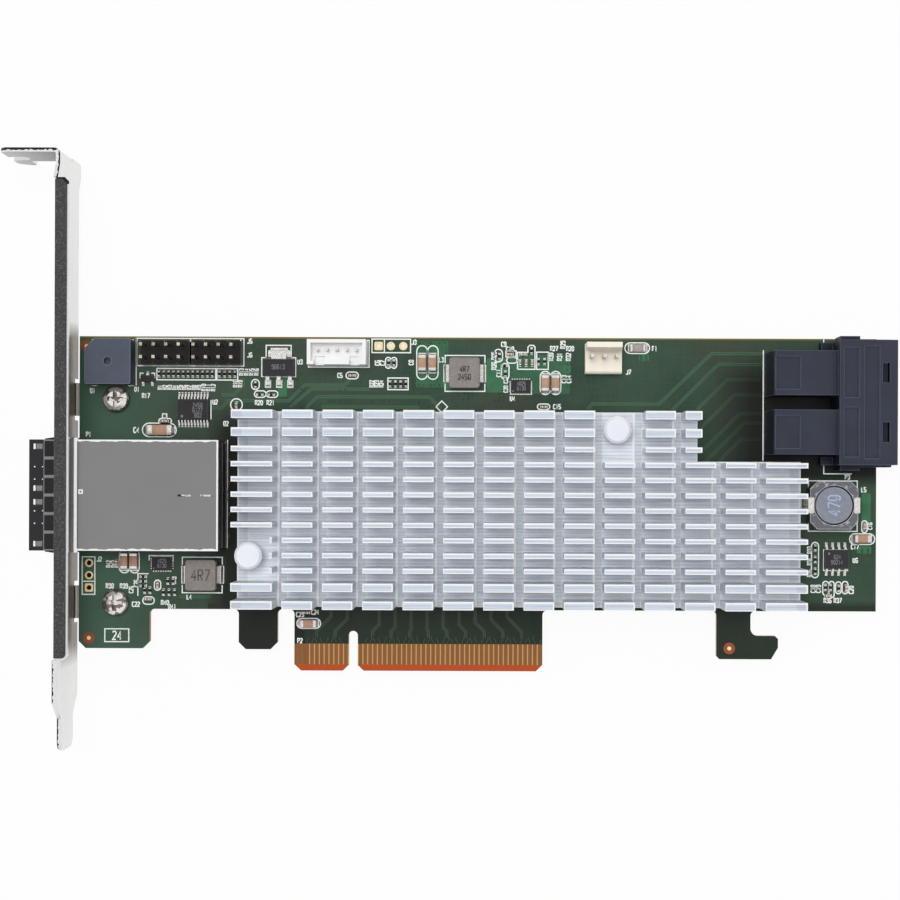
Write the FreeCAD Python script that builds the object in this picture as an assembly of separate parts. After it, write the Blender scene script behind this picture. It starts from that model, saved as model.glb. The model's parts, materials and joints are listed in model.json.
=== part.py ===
import FreeCAD
import Part
import math
import os

# A storage controller card for a server: a green board with a slot tongue,
# a full-height steel bracket, two outside cable ports in one metal cage,
# two inside cable ports in one plastic housing, and a pin-fin heatsink.
#
# Millimetres. X = 0 is the middle of the tongue's key notch, Y = 0 is the
# tongue's lower edge, Z = 0 is the middle of the board's thickness.
# The parts stand on the +Z face, the bracket is at -X, the tongue at -Y.

V = FreeCAD.Vector

# Board
BOARD_LEFT = -56.7
BOARD_RIGHT = 107.85
BOARD_TOP = 68.9
BOARD_LOWER = 12.65
BOARD_THICKNESS = 1.57
INNER_CORNER = 1.0
FACE = BOARD_THICKNESS / 2
BACK = -BOARD_THICKNESS / 2

# Two tabs of the board left of the tongue, and the latch hook right of it
GRIP_TAB_WIDTH = 14.65
GRIP_TAB_LOW = 4.5
SPARE_TAB_LEFT = -23.65
SPARE_TAB_WIDTH = 8.0
SPARE_TAB_LOW = 4.4
TAB_CHAMFER = 1.45
HOOK_LEFT = 75.0
HOOK_NECK = 7.0
HOOK_REACH = 12.7
HOOK_LOW = 2.7
HOOK_FOOT = 4.8
HOOK_SLOPE = 2.4
HOOK_TOE = 1.42
HOOK_CHAMFER = 0.6
HOOK_THROAT = 1.6

# Tongue with its gold contacts
TONGUE_LEFT = -12.15
TONGUE_RIGHT = 39.05
TONGUE_CHAMFER = 1.35
KEY_WIDTH = 1.9
KEY_DEPTH = 8.25
KEY_CHAMFER = 1.2
BEVEL_LENGTH = 1.3
BEVEL_DEPTH = 0.4
CONTACT_PITCH = 1.0
CONTACT_WIDTH = 0.7
CONTACT_LOW = 1.35
CONTACT_HIGH = 5.5
CONTACT_THICKNESS = 0.05
KEY_TO_CONTACT = 1.5
CONTACT_MARGIN = 0.5
PRESENCE_CONTACTS = (5, 19, 36)
PRESENCE_SHORTER = 1.0

# Steel bracket
SHEET = 0.86
BRACKET_GAP = 1.2
BRACKET_WIDTH = 18.42
BRACKET_NEAR = 14.3
BRACKET_TOP = 105.6
BRACKET_TIP = -15.5
BEND = 0.4
SHOULDER_SHIFT = 1.8
SHOULDER_LOW = 99.4
SHOULDER_HIGH = 102.4
SHOULDER_DROP = 0.4
TAPER_TOP = -5.2
TAPER_LOW = -8.9
FOOT_WIDTH = 10.2
FOOT_INSET = 4.4
FOOT_ROUND = 2.2
TAB_REACH = 11.2
TAB_NECK = 11.1
TAB_RELIEF = 7.1
TAB_WIDTH = 16.6
SCREW_SLOT = 4.2
SCREW_SLOT_DEPTH = 4.0
SCREW_SLOT_FROM_EDGE = 7.0
SCREW_SLOT_LEAN = 2.0
FLANGE_REACH = 3.1
FLANGE_LOW = 3.3
FLANGE_HIGH = 99.4
GASKET_THICKNESS = 0.45
GASKET_RIM = 0.42
EAR_WIDTH = 6.8
EAR_REACH = 13.2
EAR_ROUND = 1.6
EAR_RELIEF = 0.9
WINDOW_CLEARANCE = 0.65
WINDOW_ROUND = 0.6

# Screws through the board into the bracket's ears
SCREW_FROM_EDGE = 7.68
SCREW_UPPER_Y = 55.9
SCREW_LOWER_Y = 13.95
SCREW_RADIUS = 1.5
SCREW_HEAD_RADIUS = 2.7
SCREW_HEAD_HEIGHT = 2.0
SCREW_HEAD_RIM = 1.1
SCREW_HEAD_CROWN = 2.4
SCREW_CROWN_DROP = 0.4
SCREW_HEAD_FLAT = 1.6
SCREW_TAIL = 1.1
RECESS_WIDTH = 0.8
RECESS_LENGTH = 3.2
RECESS_DEPTH = 1.1
THREAD_CLEARANCE = 0.02
SCREW_CLEARANCE = 0.12

# Outside port cage
CAGE_Y = 36.15
CAGE_WIDTH = 22.3
CAGE_HEIGHT = 11.0
CAGE_LENGTH = 35.0
CAGE_REAR = -26.35
CAGE_WALL = 0.5
CAGE_RIM = 0.35
CAGE_RIM_LENGTH = 0.75
CAGE_RIM_FROM_EDGE = 1.5
CAGE_TAILS = 4
CAGE_TAIL_WIDTH = 0.6
CAGE_TAIL_INSET = 4.5
CAGE_SLIT_LENGTH = 2.6
CAGE_SLIT_WIDTH = 0.4
CAGE_SLIT_PITCH = 4.4
CAGE_SLIT_FROM_REAR = 2.4
FRAME_LENGTH = 2.9
FRAME_WALL = 1.0
FRAME_PIT_WIDTH = 1.3
FRAME_PIT_LENGTH = 1.4
FRAME_PIT_DEPTH = 0.3
FRAME_PIT_INSET = 1.35
FRAME_PIT_SPREAD = 11.0
COLLAR_SHEET = 0.2
COLLAR_TOP_LENGTH = 1.5
FINGER_COUNT = 6
FINGER_GAP = 0.6
FINGER_REACH = 2.4
FINGER_BOW = 0.35
INSERT_LENGTH = 16.0
INSERT_CLEARANCE = 0.1
SLOT_HEIGHT = 1.6
SLOT_DEPTH = 6.0
SLOT_SPACING = 3.6
SLOT_SIDE = 0.9
TERMINAL_COUNT = 8
TERMINAL_WIDTH = 0.4
TERMINAL_THICKNESS = 0.15
TERMINAL_LENGTH = 4.5

# Controller chip, thermal pad and heatsink
CHIP_X = 16.65
CHIP_Y = 36.9
SUBSTRATE_SIDE = 31.0
SUBSTRATE_HEIGHT = 1.2
LID_SIDE = 25.0
LID_HEIGHT = 0.9
PAD_THICKNESS = 0.4
SINK_LEFT = -23.4
SINK_RIGHT = 91.55
SINK_CENTRE_Y = 33.45
SINK_BASE = 2.0
SINK_HEIGHT = 11.5
NOTCH_LEFT = 70.45
NOTCH_LOW = 43.4
THIN_FINS = 9
THIN_FIN = 1.05
THIN_PITCH = 3.04
THICK_FIN = 1.7
THICK_PITCH = 3.57
THICK_FIRST = 15.5
THICK_FINS = 2
CROSS_CUTS = 13
CROSS_CUT = 1.95
CROSS_PITCH = 8.03
FIRST_CROSS_CUT = 9.24

# Push pins that hold the heatsink
PIN_RIGHT_X = 53.9
PIN_RIGHT_Y = 49.75
PIN_LEFT_X = -20.6
PIN_LEFT_Y = 24.0
PIN_STEM = 1.45
PIN_HEAD = 2.8
PIN_HEAD_HEIGHT = 1.6
PIN_HEAD_CHAMFER = 0.5
PIN_LIFT = 3.0
PIN_BARB = 1.95
PIN_BARB_LENGTH = 2.3
PIN_BARB_EDGE = 0.4
PIN_TIP = 0.9
PIN_SPLIT = 0.7
PIN_CLEARANCE = 0.15
POCKET_LENGTH = 9.9
POCKET_WIDTH = 9.5
POCKET_SHIFT = 0.35
SPRING_WIRE = 0.45
SPRING_TURNS = 3
SPRING_STEPS = 12
SPRING_CLEARANCE = 0.25

# Inside port housing
HOUSING_REAR = 84.6
HOUSING_STEP = 98.3
HOUSING_FRONT = 110.0
HOUSING_LOW = 42.8
HOUSING_HIGH = 67.95
HOUSING_HEIGHT = 10.8
ARM_HEIGHT = 9.6
ARM_WIDTH = 9.05
ARM_UPPER_Y = 61.35
ARM_LOWER_Y = 49.4
ARM_SLOPE = 0.8
PANEL_DEPTH = 0.3
PANEL_INSET = 1.25
ARM_PANEL_LENGTH = 4.9
ARM_PANEL_WIDTH = 6.6
MOUTH_WIDTH = 10.0
MOUTH_HEIGHT = 7.4
MOUTH_DEPTH = 9.5
MOUTH_FLOOR = 1.3
LATCH_LENGTH = 1.4
LATCH_WIDTH = 4.0
LATCH_FROM_FRONT = 1.65
FRONT_PANEL_LENGTH = 3.0
FRONT_PANEL_PITCH = 4.1
FRONT_PANEL_INSET = 0.95
SIDE_RIB_LENGTH = 4.0
SIDE_RIB_REACH = 1.1
SIDE_RIB_HEIGHT = 6.0
LONG_RIB_LENGTH = 10.4
LONG_RIB_REACH = 0.4
LOCK_LEDGE_LENGTH = 2.4
LOCK_LEDGE_WIDTH = 1.7
LOCK_LEDGE_HEIGHT = 3.0
LOCK_PEG = 0.7
SOCKET_INSERT_LENGTH = 3.0
SOCKET_SLOT_DEPTH = 2.4
SOCKET_SLOT_SPACING = 3.2

# Sounder
SOUNDER_LEFT = -54.45
SOUNDER_SIDE = 9.3
SOUNDER_TOP = 68.1
SOUNDER_HEIGHT = 5.5
SOUNDER_CORNER = 2.0
SOUNDER_HOLE = 0.8
SOUNDER_HOLE_DEPTH = 1.5
SOUNDER_FOOT_LENGTH = 1.2
SOUNDER_FOOT_WIDTH = 1.0
SOUNDER_FOOT_INSET = 0.9
SOUNDER_FOOT_REACH = 0.2

# Pin headers, 2.54 mm grid
GRID = 2.54
PIN_SIDE = 0.64
PIN_HOLE = 0.5
PIN_TAIL = 1.2
HEADER_COLUMNS = 4
HEADER_Y = 65.45
ACTIVITY_HEADER_X = -38.7
FAULT_HEADER_X = -28.1
HEADER_HEIGHT = 2.5
HEADER_PIN_TOP = 8.5
HEADER_NOTCH = 0.35

# Unfitted jumper holes
JUMPER_RADIUS = 0.5
JUMPER_LEFT_X = -54.6
JUMPER_LEFT_Y = 19.55
JUMPER_TOP_X = 7.55
JUMPER_TOP_Y = 67.1

# White connector with five pins
DATA_X = -3.2
DATA_PITCH = 2.0
DATA_PINS = 5
DATA_LENGTH = 12.0
DATA_LOW = 62.9
DATA_HIGH = 68.05
DATA_HEIGHT = 6.0
DATA_WALL = 0.75
DATA_FLOOR = 3.4
DATA_PIN_Y = 65.95
DATA_PIN_SIDE = 0.5
DATA_PIN_TOP = 5.0
DATA_SLOT = 2.0
DATA_SLOT_SPREAD = 7.2
DATA_SLOT_SILL = 3.0

# Cream connector with three pins for a fan
FAN_X = 51.3
FAN_LENGTH = 7.5
FAN_LOW = 61.4
FAN_HIGH = 67.55
FAN_HEIGHT = 3.3
FAN_WALL = 1.1
FAN_WALL_HEIGHT = 8.0
FAN_WALL_INSET = 0.15
FAN_LIP = 0.65
FAN_LIP_DROP = 1.6
FAN_PINS = 3
FAN_PIN_Y = 64.7
FAN_PIN_TOP = 9.0

# Moulded inductors
COIL_SIDE = 6.3
COIL_HEIGHT = 3.0
COIL_CORNER = 0.6
COIL_CLIP = 0.78
COIL_CLIP_UNDER = 1.8
COIL_CLIP_WIDTH = 3.5
COIL_CLIP_HEIGHT = 1.6
COIL_CLIP_SHEET = 0.25
COIL_UPPER_X = 22.8
COIL_UPPER_Y = 61.5
COIL_LOWER_X = -31.13
COIL_LOWER_Y = 19.75

# Drum inductor in a square shield
DRUM_X = 98.35
DRUM_Y = 34.6
DRUM_SHIELD = 9.8
DRUM_CORNER = 1.5
DRUM_BORE = 4.05
DRUM_RADIUS = 3.8
DRUM_NECK = 2.2
DRUM_FLANGE = 1.0
DRUM_HEIGHT = 4.8
DRUM_NOTCH = 3.2
DRUM_NOTCH_DEPTH = 0.45
DRUM_CLIP_REACH = 0.7
DRUM_CLIP_CLEARANCE = 0.12
DRUM_CLIP_FOOT = 2.4
DRUM_CLIP_SHEET = 0.3
DRUM_CLIP_HEIGHT = 4.3

# Chips with leads
LEAD_SHEET = 0.2
LEAD_LEVEL = 0.45
LEAD_FOOT = 0.5
CHIP_LIFT = 0.1
CHIP_DRAFT = 0.12
BUFFER_X = -33.15
BUFFER_Y = 53.8
BUFFER_LENGTH = 6.6
BUFFER_WIDTH = 4.3
BUFFER_HEIGHT = 1.1
BUFFER_SPAN = 6.6
BUFFER_PITCH = 0.65
BUFFER_LEADS = 10
BUFFER_LEAD_WIDTH = 0.28
MEMORY_X = 99.5
MEMORY_Y = 23.45
MEMORY_LENGTH = 5.0
MEMORY_WIDTH = 3.95
MEMORY_HEIGHT = 1.55
MEMORY_SPAN = 6.2
MEMORY_PITCH = 1.27
MEMORY_LEADS = 4
MEMORY_LEAD_WIDTH = 0.45
REGULATOR_X = -15.5
REGULATOR_Y = 62.5
REGULATOR_LENGTH = 6.6
REGULATOR_WIDTH = 3.6
REGULATOR_HEIGHT = 1.7
REGULATOR_SPAN = 7.1
REGULATOR_PITCH = 2.3
REGULATOR_LEADS = 3
REGULATOR_LEAD_WIDTH = 0.8
REGULATOR_TAB_WIDTH = 3.1
TRANSISTOR_X = -42.6
TRANSISTOR_Y = 60.15
TRANSISTOR_LENGTH = 2.9
TRANSISTOR_WIDTH = 1.35
TRANSISTOR_HEIGHT = 1.0
TRANSISTOR_SPAN = 2.5
TRANSISTOR_PITCH = 1.9
TRANSISTOR_LEAD_WIDTH = 0.42
POWER_HEIGHT = 0.85
POWER_UPPER_X = 34.4
POWER_UPPER_Y = 58.8
POWER_LOWER_X = -39.5
POWER_LOWER_Y = 22.0
POWER_LENGTH = 4.1
POWER_WIDTH = 2.8

# Chip capacitors, resistors and the fuse: length, width, height, end cap
LARGE_CAPACITOR = (3.3, 1.6, 1.5, 0.5)
TANK_CAPACITOR = (5.1, 2.1, 1.6, 0.9)
SMALL_CAPACITOR = (1.1, 0.6, 0.55, 0.25)
RESISTOR = (1.05, 0.55, 0.38, 0.25)
FUSE = (3.2, 1.6, 0.7, 0.55)
TANK_X = -39.95
TANK_FROM_CAGE = 1.2
TANK_TO_SMALL = 1.85
FILTER_FROM_CAGE = 0.75
FUSE_PLACE = (58.5, 66.85, False)

# Places that follow from the cage
CAGE_LOW = CAGE_Y - CAGE_WIDTH / 2
CAGE_HIGH = CAGE_Y + CAGE_WIDTH / 2
TANK_Y = CAGE_HIGH + TANK_FROM_CAGE + TANK_CAPACITOR[1] / 2
FILTER_Y = CAGE_LOW - FILTER_FROM_CAGE - LARGE_CAPACITOR[0] / 2
TANK_PLACE = (TANK_X, TANK_Y, False)

# Rows of chips: first x, first y, step x, step y, how many, upright or not
LARGE_ROWS = (
    (14.05, 63.6, 2.1, 0, 2, True),
    (39.4, 59.5, 2.15, 0, 2, True),
    (-47.25, FILTER_Y, 2.0, 0, 2, True),
    (104.9, 27.7, 0, 0, 1, False),
    (-9.2, 9.8, 0, 0, 1, False),
)
SMALL_ROWS = (
    (34.2, 63.7, 1.27, 0, 3, True),
    (32.1, 65.45, 2.8, 0, 2, False),
    (-39.1, TANK_Y + TANK_TO_SMALL, 0, 0, 1, False),
    (-24.3, 54.7, 0, 0, 1, True),
    (-0.4, 61.0, 0, 0, 1, False),
    (39.2, 54.6, 0, 0, 1, False),
    (105.4, 30.2, 0, 0, 1, True),
    (101.7, 17.4, 0, 0, 1, True),
    (98.0, 15.9, 0, 0, 1, False),
    (-42.5, 14.7, 0, 0, 1, False),
    (-40.4, 17.6, 0, 0, 1, True),
    (-49.0, 22.1, 0, 0, 1, True),
    (-9.8, 12.0, 0, 0, 1, False),
)
RESISTOR_ROWS = (
    (-40.3, 61.2, 1.0, 0, 12, True),
    (-27.8, 61.2, 1.06, 0, 4, True),
    (95.3, 25.8, 0, -2.43, 3, True),
    (97.4, 17.6, 1.05, 0, 2, True),
    (100.15, 17.4, 0, 0, 1, True),
    (-43.4, 19.3, 0, -0.95, 3, False),
    (-43.1, 16.5, 1.1, 0, 2, True),
    (-39.2, 16.1, 1.15, 0, 3, True),
    (-38.3, 18.4, 1.1, 0, 2, True),
    (7.1, 63.6, 1.1, 0, 2, True),
    (7.4, 59.25, 1.1, 0, 4, True),
    (-19.5, 56.9, 2.4, 0, 2, False),
    (-20.4, 59.0, 0, 0, 1, True),
    (30.0, 65.0, 1.2, -3.6, 2, True),
    (38.0, 64.0, 1.27, 0, 2, True),
    (36.6, 66.2, 0, 0, 1, True),
    (31.0, 63.1, 0, 0, 1, False),
)

# Sizes that follow from the ones above
SCREW_X = BOARD_LEFT + SCREW_FROM_EDGE
BRACKET_INNER = BOARD_LEFT - BRACKET_GAP
BRACKET_OUTER = BRACKET_INNER - SHEET
NEAR_Z = FACE + BRACKET_NEAR
FAR_Z = NEAR_Z - BRACKET_WIDTH
CAGE_TOP = FACE + CAGE_HEIGHT
CAGE_FRONT = CAGE_REAR - CAGE_LENGTH
CHIP_TOP = FACE + SUBSTRATE_HEIGHT + LID_HEIGHT
SINK_BOTTOM = CHIP_TOP + PAD_THICKNESS
SINK_FLOOR = SINK_BOTTOM + SINK_BASE
SINK_TOP = SINK_BOTTOM + SINK_HEIGHT
MOUTH_LOW_Z = FACE + MOUTH_FLOOR
PUSH_PINS = {
    "right": (PIN_RIGHT_X, PIN_RIGHT_Y),
    "left": (PIN_LEFT_X, PIN_LEFT_Y),
}
TINY = 1e-6
PAST = 1.0


def box(x0, x1, y0, y1, z0, z1):
    """Block between two corners."""
    return Part.makeBox(x1 - x0, y1 - y0, z1 - z0, V(x0, y0, z0))


def block(x, y, length, width, z0, z1):
    """Block centred over (x, y)."""
    return box(x - length / 2, x + length / 2, y - width / 2, y + width / 2, z0, z1)


def rod(radius, x, y, z0, z1):
    """Upright cylinder."""
    return Part.makeCylinder(radius, z1 - z0, V(x, y, z0))


def small_hole(radius, x, y):
    """Cutter for a small plated hole: six sides, as wide across the flats as the hole."""
    reach = radius / math.cos(math.pi / 6)
    half = reach / 2
    sides = [(reach, 0), (half, radius), (-half, radius)]
    sides += [(-a, -b) for a, b in sides]
    return xy_prism([(x + a, y + b, 0) for a, b in sides], BACK - PAST, FACE + PAST)


def joined(shapes):
    """One solid from shapes that touch, with the seams between them removed."""
    shapes = list(shapes)
    return shapes[0].fuse(shapes[1:]).removeSplitter()


def group(shapes):
    """Separate solids that share one node."""
    return Part.makeCompound(list(shapes))


def corner_edge(before, at, after, size):
    """Ends of a treated corner and its edge: rounded for a size above 0, cut off below 0."""
    if size == 0:
        return at, at, None
    back = (before - at).normalize()
    ahead = (after - at).normalize()
    if size < 0:
        start = at - back * size
        end = at - ahead * size
        return start, end, Part.makeLine(start, end)
    half = back.getAngle(ahead) / 2
    run = size / math.tan(half)
    start = at + back * run
    end = at + ahead * run
    inward = (back + ahead).normalize()
    middle = at + inward * (size / math.sin(half) - size)
    return start, end, Part.Arc(start, middle, end).toShape()


def outline(corners, place):
    """Flat face from corners (a, b, size); place(a, b) puts a corner in space."""
    points = [place(a, b) for a, b, size in corners]
    count = len(points)
    treated = []
    for i in range(count):
        treated.append(corner_edge(points[i - 1], points[i], points[(i + 1) % count], corners[i][2]))
    edges = []
    for i in range(count):
        previous_end = treated[i - 1][1]
        start, end, edge = treated[i]
        if previous_end.distanceToPoint(start) > TINY:
            edges.append(Part.makeLine(previous_end, start))
        if edge:
            edges.append(edge)
    return Part.Face(Part.Wire(edges))


def xy_prism(corners, z0, z1):
    """Outline in X and Y, raised from z0 to z1."""
    return outline(corners, lambda x, y: V(x, y, z0)).extrude(V(0, 0, z1 - z0))


def xz_prism(corners, y0, y1):
    """Outline in X and Z, drawn out from y0 to y1."""
    return outline(corners, lambda x, z: V(x, y0, z)).extrude(V(0, y1 - y0, 0))


def yz_prism(corners, x0, x1):
    """Outline in Y and Z, drawn out from x0 to x1."""
    return outline(corners, lambda y, z: V(x0, y, z)).extrude(V(x1 - x0, 0, 0))


def rounded_block(x, y, length, width, corner, z0, z1):
    """Block over (x, y) with treated upright edges."""
    a = length / 2
    b = width / 2
    corners = [(x - a, y - b, corner), (x + a, y - b, corner), (x + a, y + b, corner), (x - a, y + b, corner)]
    return xy_prism(corners, z0, z1)


def turned(profile, x, y):
    """Solid of revolution about the upright axis through (x, y); profile is (radius, z) points."""
    points = [V(r, 0, z) for r, z in profile]
    face = Part.Face(Part.makePolygon(points + points[:1]))
    solid = face.revolve(V(0, 0, 0), V(0, 0, 1), 360)
    solid.translate(V(x, y, 0))
    return solid


def spread(count, pitch):
    """Places of count items, pitch apart, centred on 0."""
    return [(i - (count - 1) / 2) * pitch for i in range(count)]


def header_pins(x):
    """Pin places of one two-row header."""
    return [(x + dx, HEADER_Y + dy) for dy in spread(2, GRID) for dx in spread(HEADER_COLUMNS, GRID)]


def data_pins():
    """Pin places of the white connector."""
    return [(DATA_X + dx, DATA_PIN_Y) for dx in spread(DATA_PINS, DATA_PITCH)]


def fan_pins():
    """Pin places of the fan connector."""
    return [(FAN_X + dx, FAN_PIN_Y) for dx in spread(FAN_PINS, GRID)]


def cage_tails():
    """Places of the cage's press-in tails, in line with its two side walls."""
    run = CAGE_REAR - BOARD_LEFT - 2 * CAGE_TAIL_INSET
    middle = (CAGE_REAR + BOARD_LEFT) / 2
    rows = (CAGE_LOW + CAGE_WALL / 2, CAGE_HIGH - CAGE_WALL / 2)
    return [(middle + dx, y) for y in rows for dx in spread(CAGE_TAILS, run / (CAGE_TAILS - 1))]


def lock_pegs():
    """Places of the inside housing's board pegs."""
    x = HOUSING_STEP - LOCK_LEDGE_LENGTH / 2
    return [(x, HOUSING_LOW + LOCK_LEDGE_WIDTH / 2), (x, HOUSING_HIGH - LOCK_LEDGE_WIDTH / 2)]


def circuit_board():
    """Board with tabs, keyed tongue, latch hook and every drilled hole."""
    grip_right = BOARD_LEFT + GRIP_TAB_WIDTH
    spare_right = SPARE_TAB_LEFT + SPARE_TAB_WIDTH
    hook_tip = HOOK_LEFT + HOOK_REACH
    neck = HOOK_LEFT + HOOK_NECK
    half_key = KEY_WIDTH / 2
    foot_top = HOOK_LOW + HOOK_FOOT
    corners = [
        (BOARD_LEFT, BOARD_TOP, 0),
        (BOARD_LEFT, GRIP_TAB_LOW, -TAB_CHAMFER),
        (grip_right, GRIP_TAB_LOW, -TAB_CHAMFER),
        (grip_right, BOARD_LOWER, INNER_CORNER),
        (SPARE_TAB_LEFT, BOARD_LOWER, INNER_CORNER),
        (SPARE_TAB_LEFT, SPARE_TAB_LOW, -TAB_CHAMFER),
        (spare_right, SPARE_TAB_LOW, -TAB_CHAMFER),
        (spare_right, BOARD_LOWER, INNER_CORNER),
        (TONGUE_LEFT, BOARD_LOWER, INNER_CORNER),
        (TONGUE_LEFT, 0, -TONGUE_CHAMFER),
        (-half_key, 0, -KEY_CHAMFER),
        (-half_key, KEY_DEPTH, half_key),
        (half_key, KEY_DEPTH, half_key),
        (half_key, 0, -KEY_CHAMFER),
        (TONGUE_RIGHT, 0, -TONGUE_CHAMFER),
        (TONGUE_RIGHT, BOARD_LOWER, INNER_CORNER),
        (HOOK_LEFT, BOARD_LOWER, INNER_CORNER),
        (HOOK_LEFT, HOOK_LOW, -HOOK_CHAMFER),
        (hook_tip - HOOK_TOE, HOOK_LOW, 0),
        (hook_tip, HOOK_LOW + HOOK_SLOPE, 0),
        (hook_tip, foot_top, -HOOK_CHAMFER),
        (neck, foot_top, HOOK_THROAT),
        (neck, BOARD_LOWER, INNER_CORNER),
        (BOARD_RIGHT, BOARD_LOWER, 0),
        (BOARD_RIGHT, BOARD_TOP, 0),
    ]
    board = xy_prism(corners, BACK, FACE)
    for side in (-1, 1):
        edge = side * FACE
        wedge = [(0, edge - side * BEVEL_DEPTH, 0), (-PAST, edge - side * BEVEL_DEPTH, 0)]
        wedge += [(-PAST, edge, 0), (BEVEL_LENGTH, edge, 0)]
        board = board.cut(yz_prism(wedge, TONGUE_LEFT - PAST, TONGUE_RIGHT + PAST))
    pins = header_pins(ACTIVITY_HEADER_X) + header_pins(FAULT_HEADER_X)
    pins += data_pins() + fan_pins() + cage_tails()
    holes = [small_hole(PIN_HOLE, x, y) for x, y in pins]
    holes += [small_hole(JUMPER_RADIUS, JUMPER_LEFT_X, JUMPER_LEFT_Y + dy) for dy in spread(3, GRID)]
    holes += [small_hole(JUMPER_RADIUS, JUMPER_TOP_X + dx, JUMPER_TOP_Y) for dx in spread(3, GRID)]
    wide = [(x, y, LOCK_PEG + PIN_CLEARANCE) for x, y in lock_pegs()]
    wide += [(x, y, PIN_STEM + PIN_CLEARANCE) for x, y in PUSH_PINS.values()]
    wide += [(SCREW_X, y, SCREW_RADIUS + SCREW_CLEARANCE) for y in (SCREW_UPPER_Y, SCREW_LOWER_Y)]
    holes += [rod(r, x, y, BACK - PAST, FACE + PAST) for x, y, r in wide]
    return board.cut(holes)


def edge_contacts():
    """Gold contacts on both faces of the tongue, some shorter so that they meet the slot last."""
    right_count = int((TONGUE_RIGHT - KEY_TO_CONTACT - CONTACT_MARGIN) / CONTACT_PITCH) + 1
    left_count = int((-TONGUE_LEFT - KEY_TO_CONTACT - CONTACT_MARGIN) / CONTACT_PITCH) + 1
    places = [(-KEY_TO_CONTACT - i * CONTACT_PITCH, False) for i in range(left_count)]
    places += [(KEY_TO_CONTACT + i * CONTACT_PITCH, i in PRESENCE_CONTACTS) for i in range(right_count)]
    contacts = []
    for x, shorter in places:
        low = CONTACT_LOW + (PRESENCE_SHORTER if shorter else 0)
        half = CONTACT_WIDTH / 2
        contacts.append(box(x - half, x + half, low, CONTACT_HIGH, FACE, FACE + CONTACT_THICKNESS))
        contacts.append(box(x - half, x + half, CONTACT_LOW, CONTACT_HIGH, BACK - CONTACT_THICKNESS, BACK))
    return group(contacts)


def bracket_plate():
    """Flat plate of the bracket: shoulder at the top, tapered foot below."""
    near_top = NEAR_Z - SHOULDER_SHIFT
    far_top = FAR_Z - SHOULDER_SHIFT
    foot_near = NEAR_Z - FOOT_INSET
    foot_far = foot_near - FOOT_WIDTH
    fold_low = BRACKET_TOP - SHEET - BEND
    fold_far = near_top - TAB_NECK
    shoulder_top = BRACKET_TOP - SHOULDER_DROP
    corners = [
        (BRACKET_TIP, foot_far, FOOT_ROUND),
        (BRACKET_TIP, foot_near, FOOT_ROUND),
        (TAPER_LOW, foot_near, BEND),
        (TAPER_TOP, NEAR_Z, BEND),
        (SHOULDER_LOW, NEAR_Z, 0),
        (SHOULDER_HIGH, near_top, 0),
        (fold_low, near_top, 0),
        (fold_low, fold_far, 0),
        (shoulder_top, fold_far, 0),
        (shoulder_top, far_top, BEND),
        (SHOULDER_HIGH, far_top, 0),
        (SHOULDER_LOW, FAR_Z, 0),
        (TAPER_TOP, FAR_Z, BEND),
        (TAPER_LOW, foot_far, BEND),
    ]
    return yz_prism(corners, BRACKET_OUTER, BRACKET_INNER)


def bracket_tab():
    """Screw tab at the top, bent outwards, with relief cut and leaning screw slot."""
    near = NEAR_Z - SHOULDER_SHIFT
    neck_far = near - TAB_NECK
    tab_far = near - TAB_WIDTH
    tip = BRACKET_OUTER - TAB_REACH
    under = BRACKET_TOP - SHEET
    leg = under - BEND - PAST
    bend = [
        (BRACKET_INNER, leg, 0),
        (BRACKET_INNER, BRACKET_TOP, SHEET + BEND),
        (tip + TAB_RELIEF, BRACKET_TOP, 0),
        (tip + TAB_RELIEF, under, 0),
        (BRACKET_OUTER, under, BEND),
        (BRACKET_OUTER, leg, 0),
    ]
    relief = tip + TAB_RELIEF / 2
    ear = [
        (tip, near, -PAST),
        (tip + TAB_RELIEF, near, 0),
        (tip + TAB_RELIEF, neck_far, 0),
        (relief, neck_far, 0),
        (relief, tab_far, -PAST),
        (tip, tab_far + FOOT_ROUND, FOOT_ROUND),
    ]
    mouth = near - SCREW_SLOT_FROM_EDGE
    end = tip + SCREW_SLOT_DEPTH
    lean = SCREW_SLOT_LEAN
    bore = SCREW_SLOT / 2 - BEND / 2
    slot = [
        (tip - PAST, mouth, 0),
        (tip - PAST, mouth - SCREW_SLOT, 0),
        (end, mouth - SCREW_SLOT + lean, bore),
        (end, mouth + lean, bore),
    ]
    tab = joined([xy_prism(bend, neck_far, near), xz_prism(ear, under, BRACKET_TOP)])
    return tab.cut(xz_prism(slot, under - PAST, BRACKET_TOP + PAST))


def bracket_ear(y):
    """Ear bent from the far edge, under the board, with its threaded screw hole."""
    bottom = BACK - SHEET
    root = BACK + PAST
    tip = BRACKET_INNER + EAR_REACH
    bend = [
        (BRACKET_INNER, root, 0),
        (BRACKET_INNER, BACK, BEND),
        (tip, BACK, 0),
        (tip, bottom, 0),
        (BRACKET_OUTER, bottom, SHEET + BEND),
        (BRACKET_OUTER, root, 0),
    ]
    low = y - EAR_WIDTH / 2
    high = y + EAR_WIDTH / 2
    plan = [
        (BRACKET_OUTER, low, 0),
        (tip, low, EAR_ROUND),
        (tip, high, EAR_ROUND),
        (BRACKET_OUTER, high, 0),
    ]
    ear = xz_prism(bend, low, high).common(xy_prism(plan, bottom, root))
    return ear.cut(rod(SCREW_RADIUS + THREAD_CLEARANCE, SCREW_X, y, bottom - PAST, root))


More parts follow.
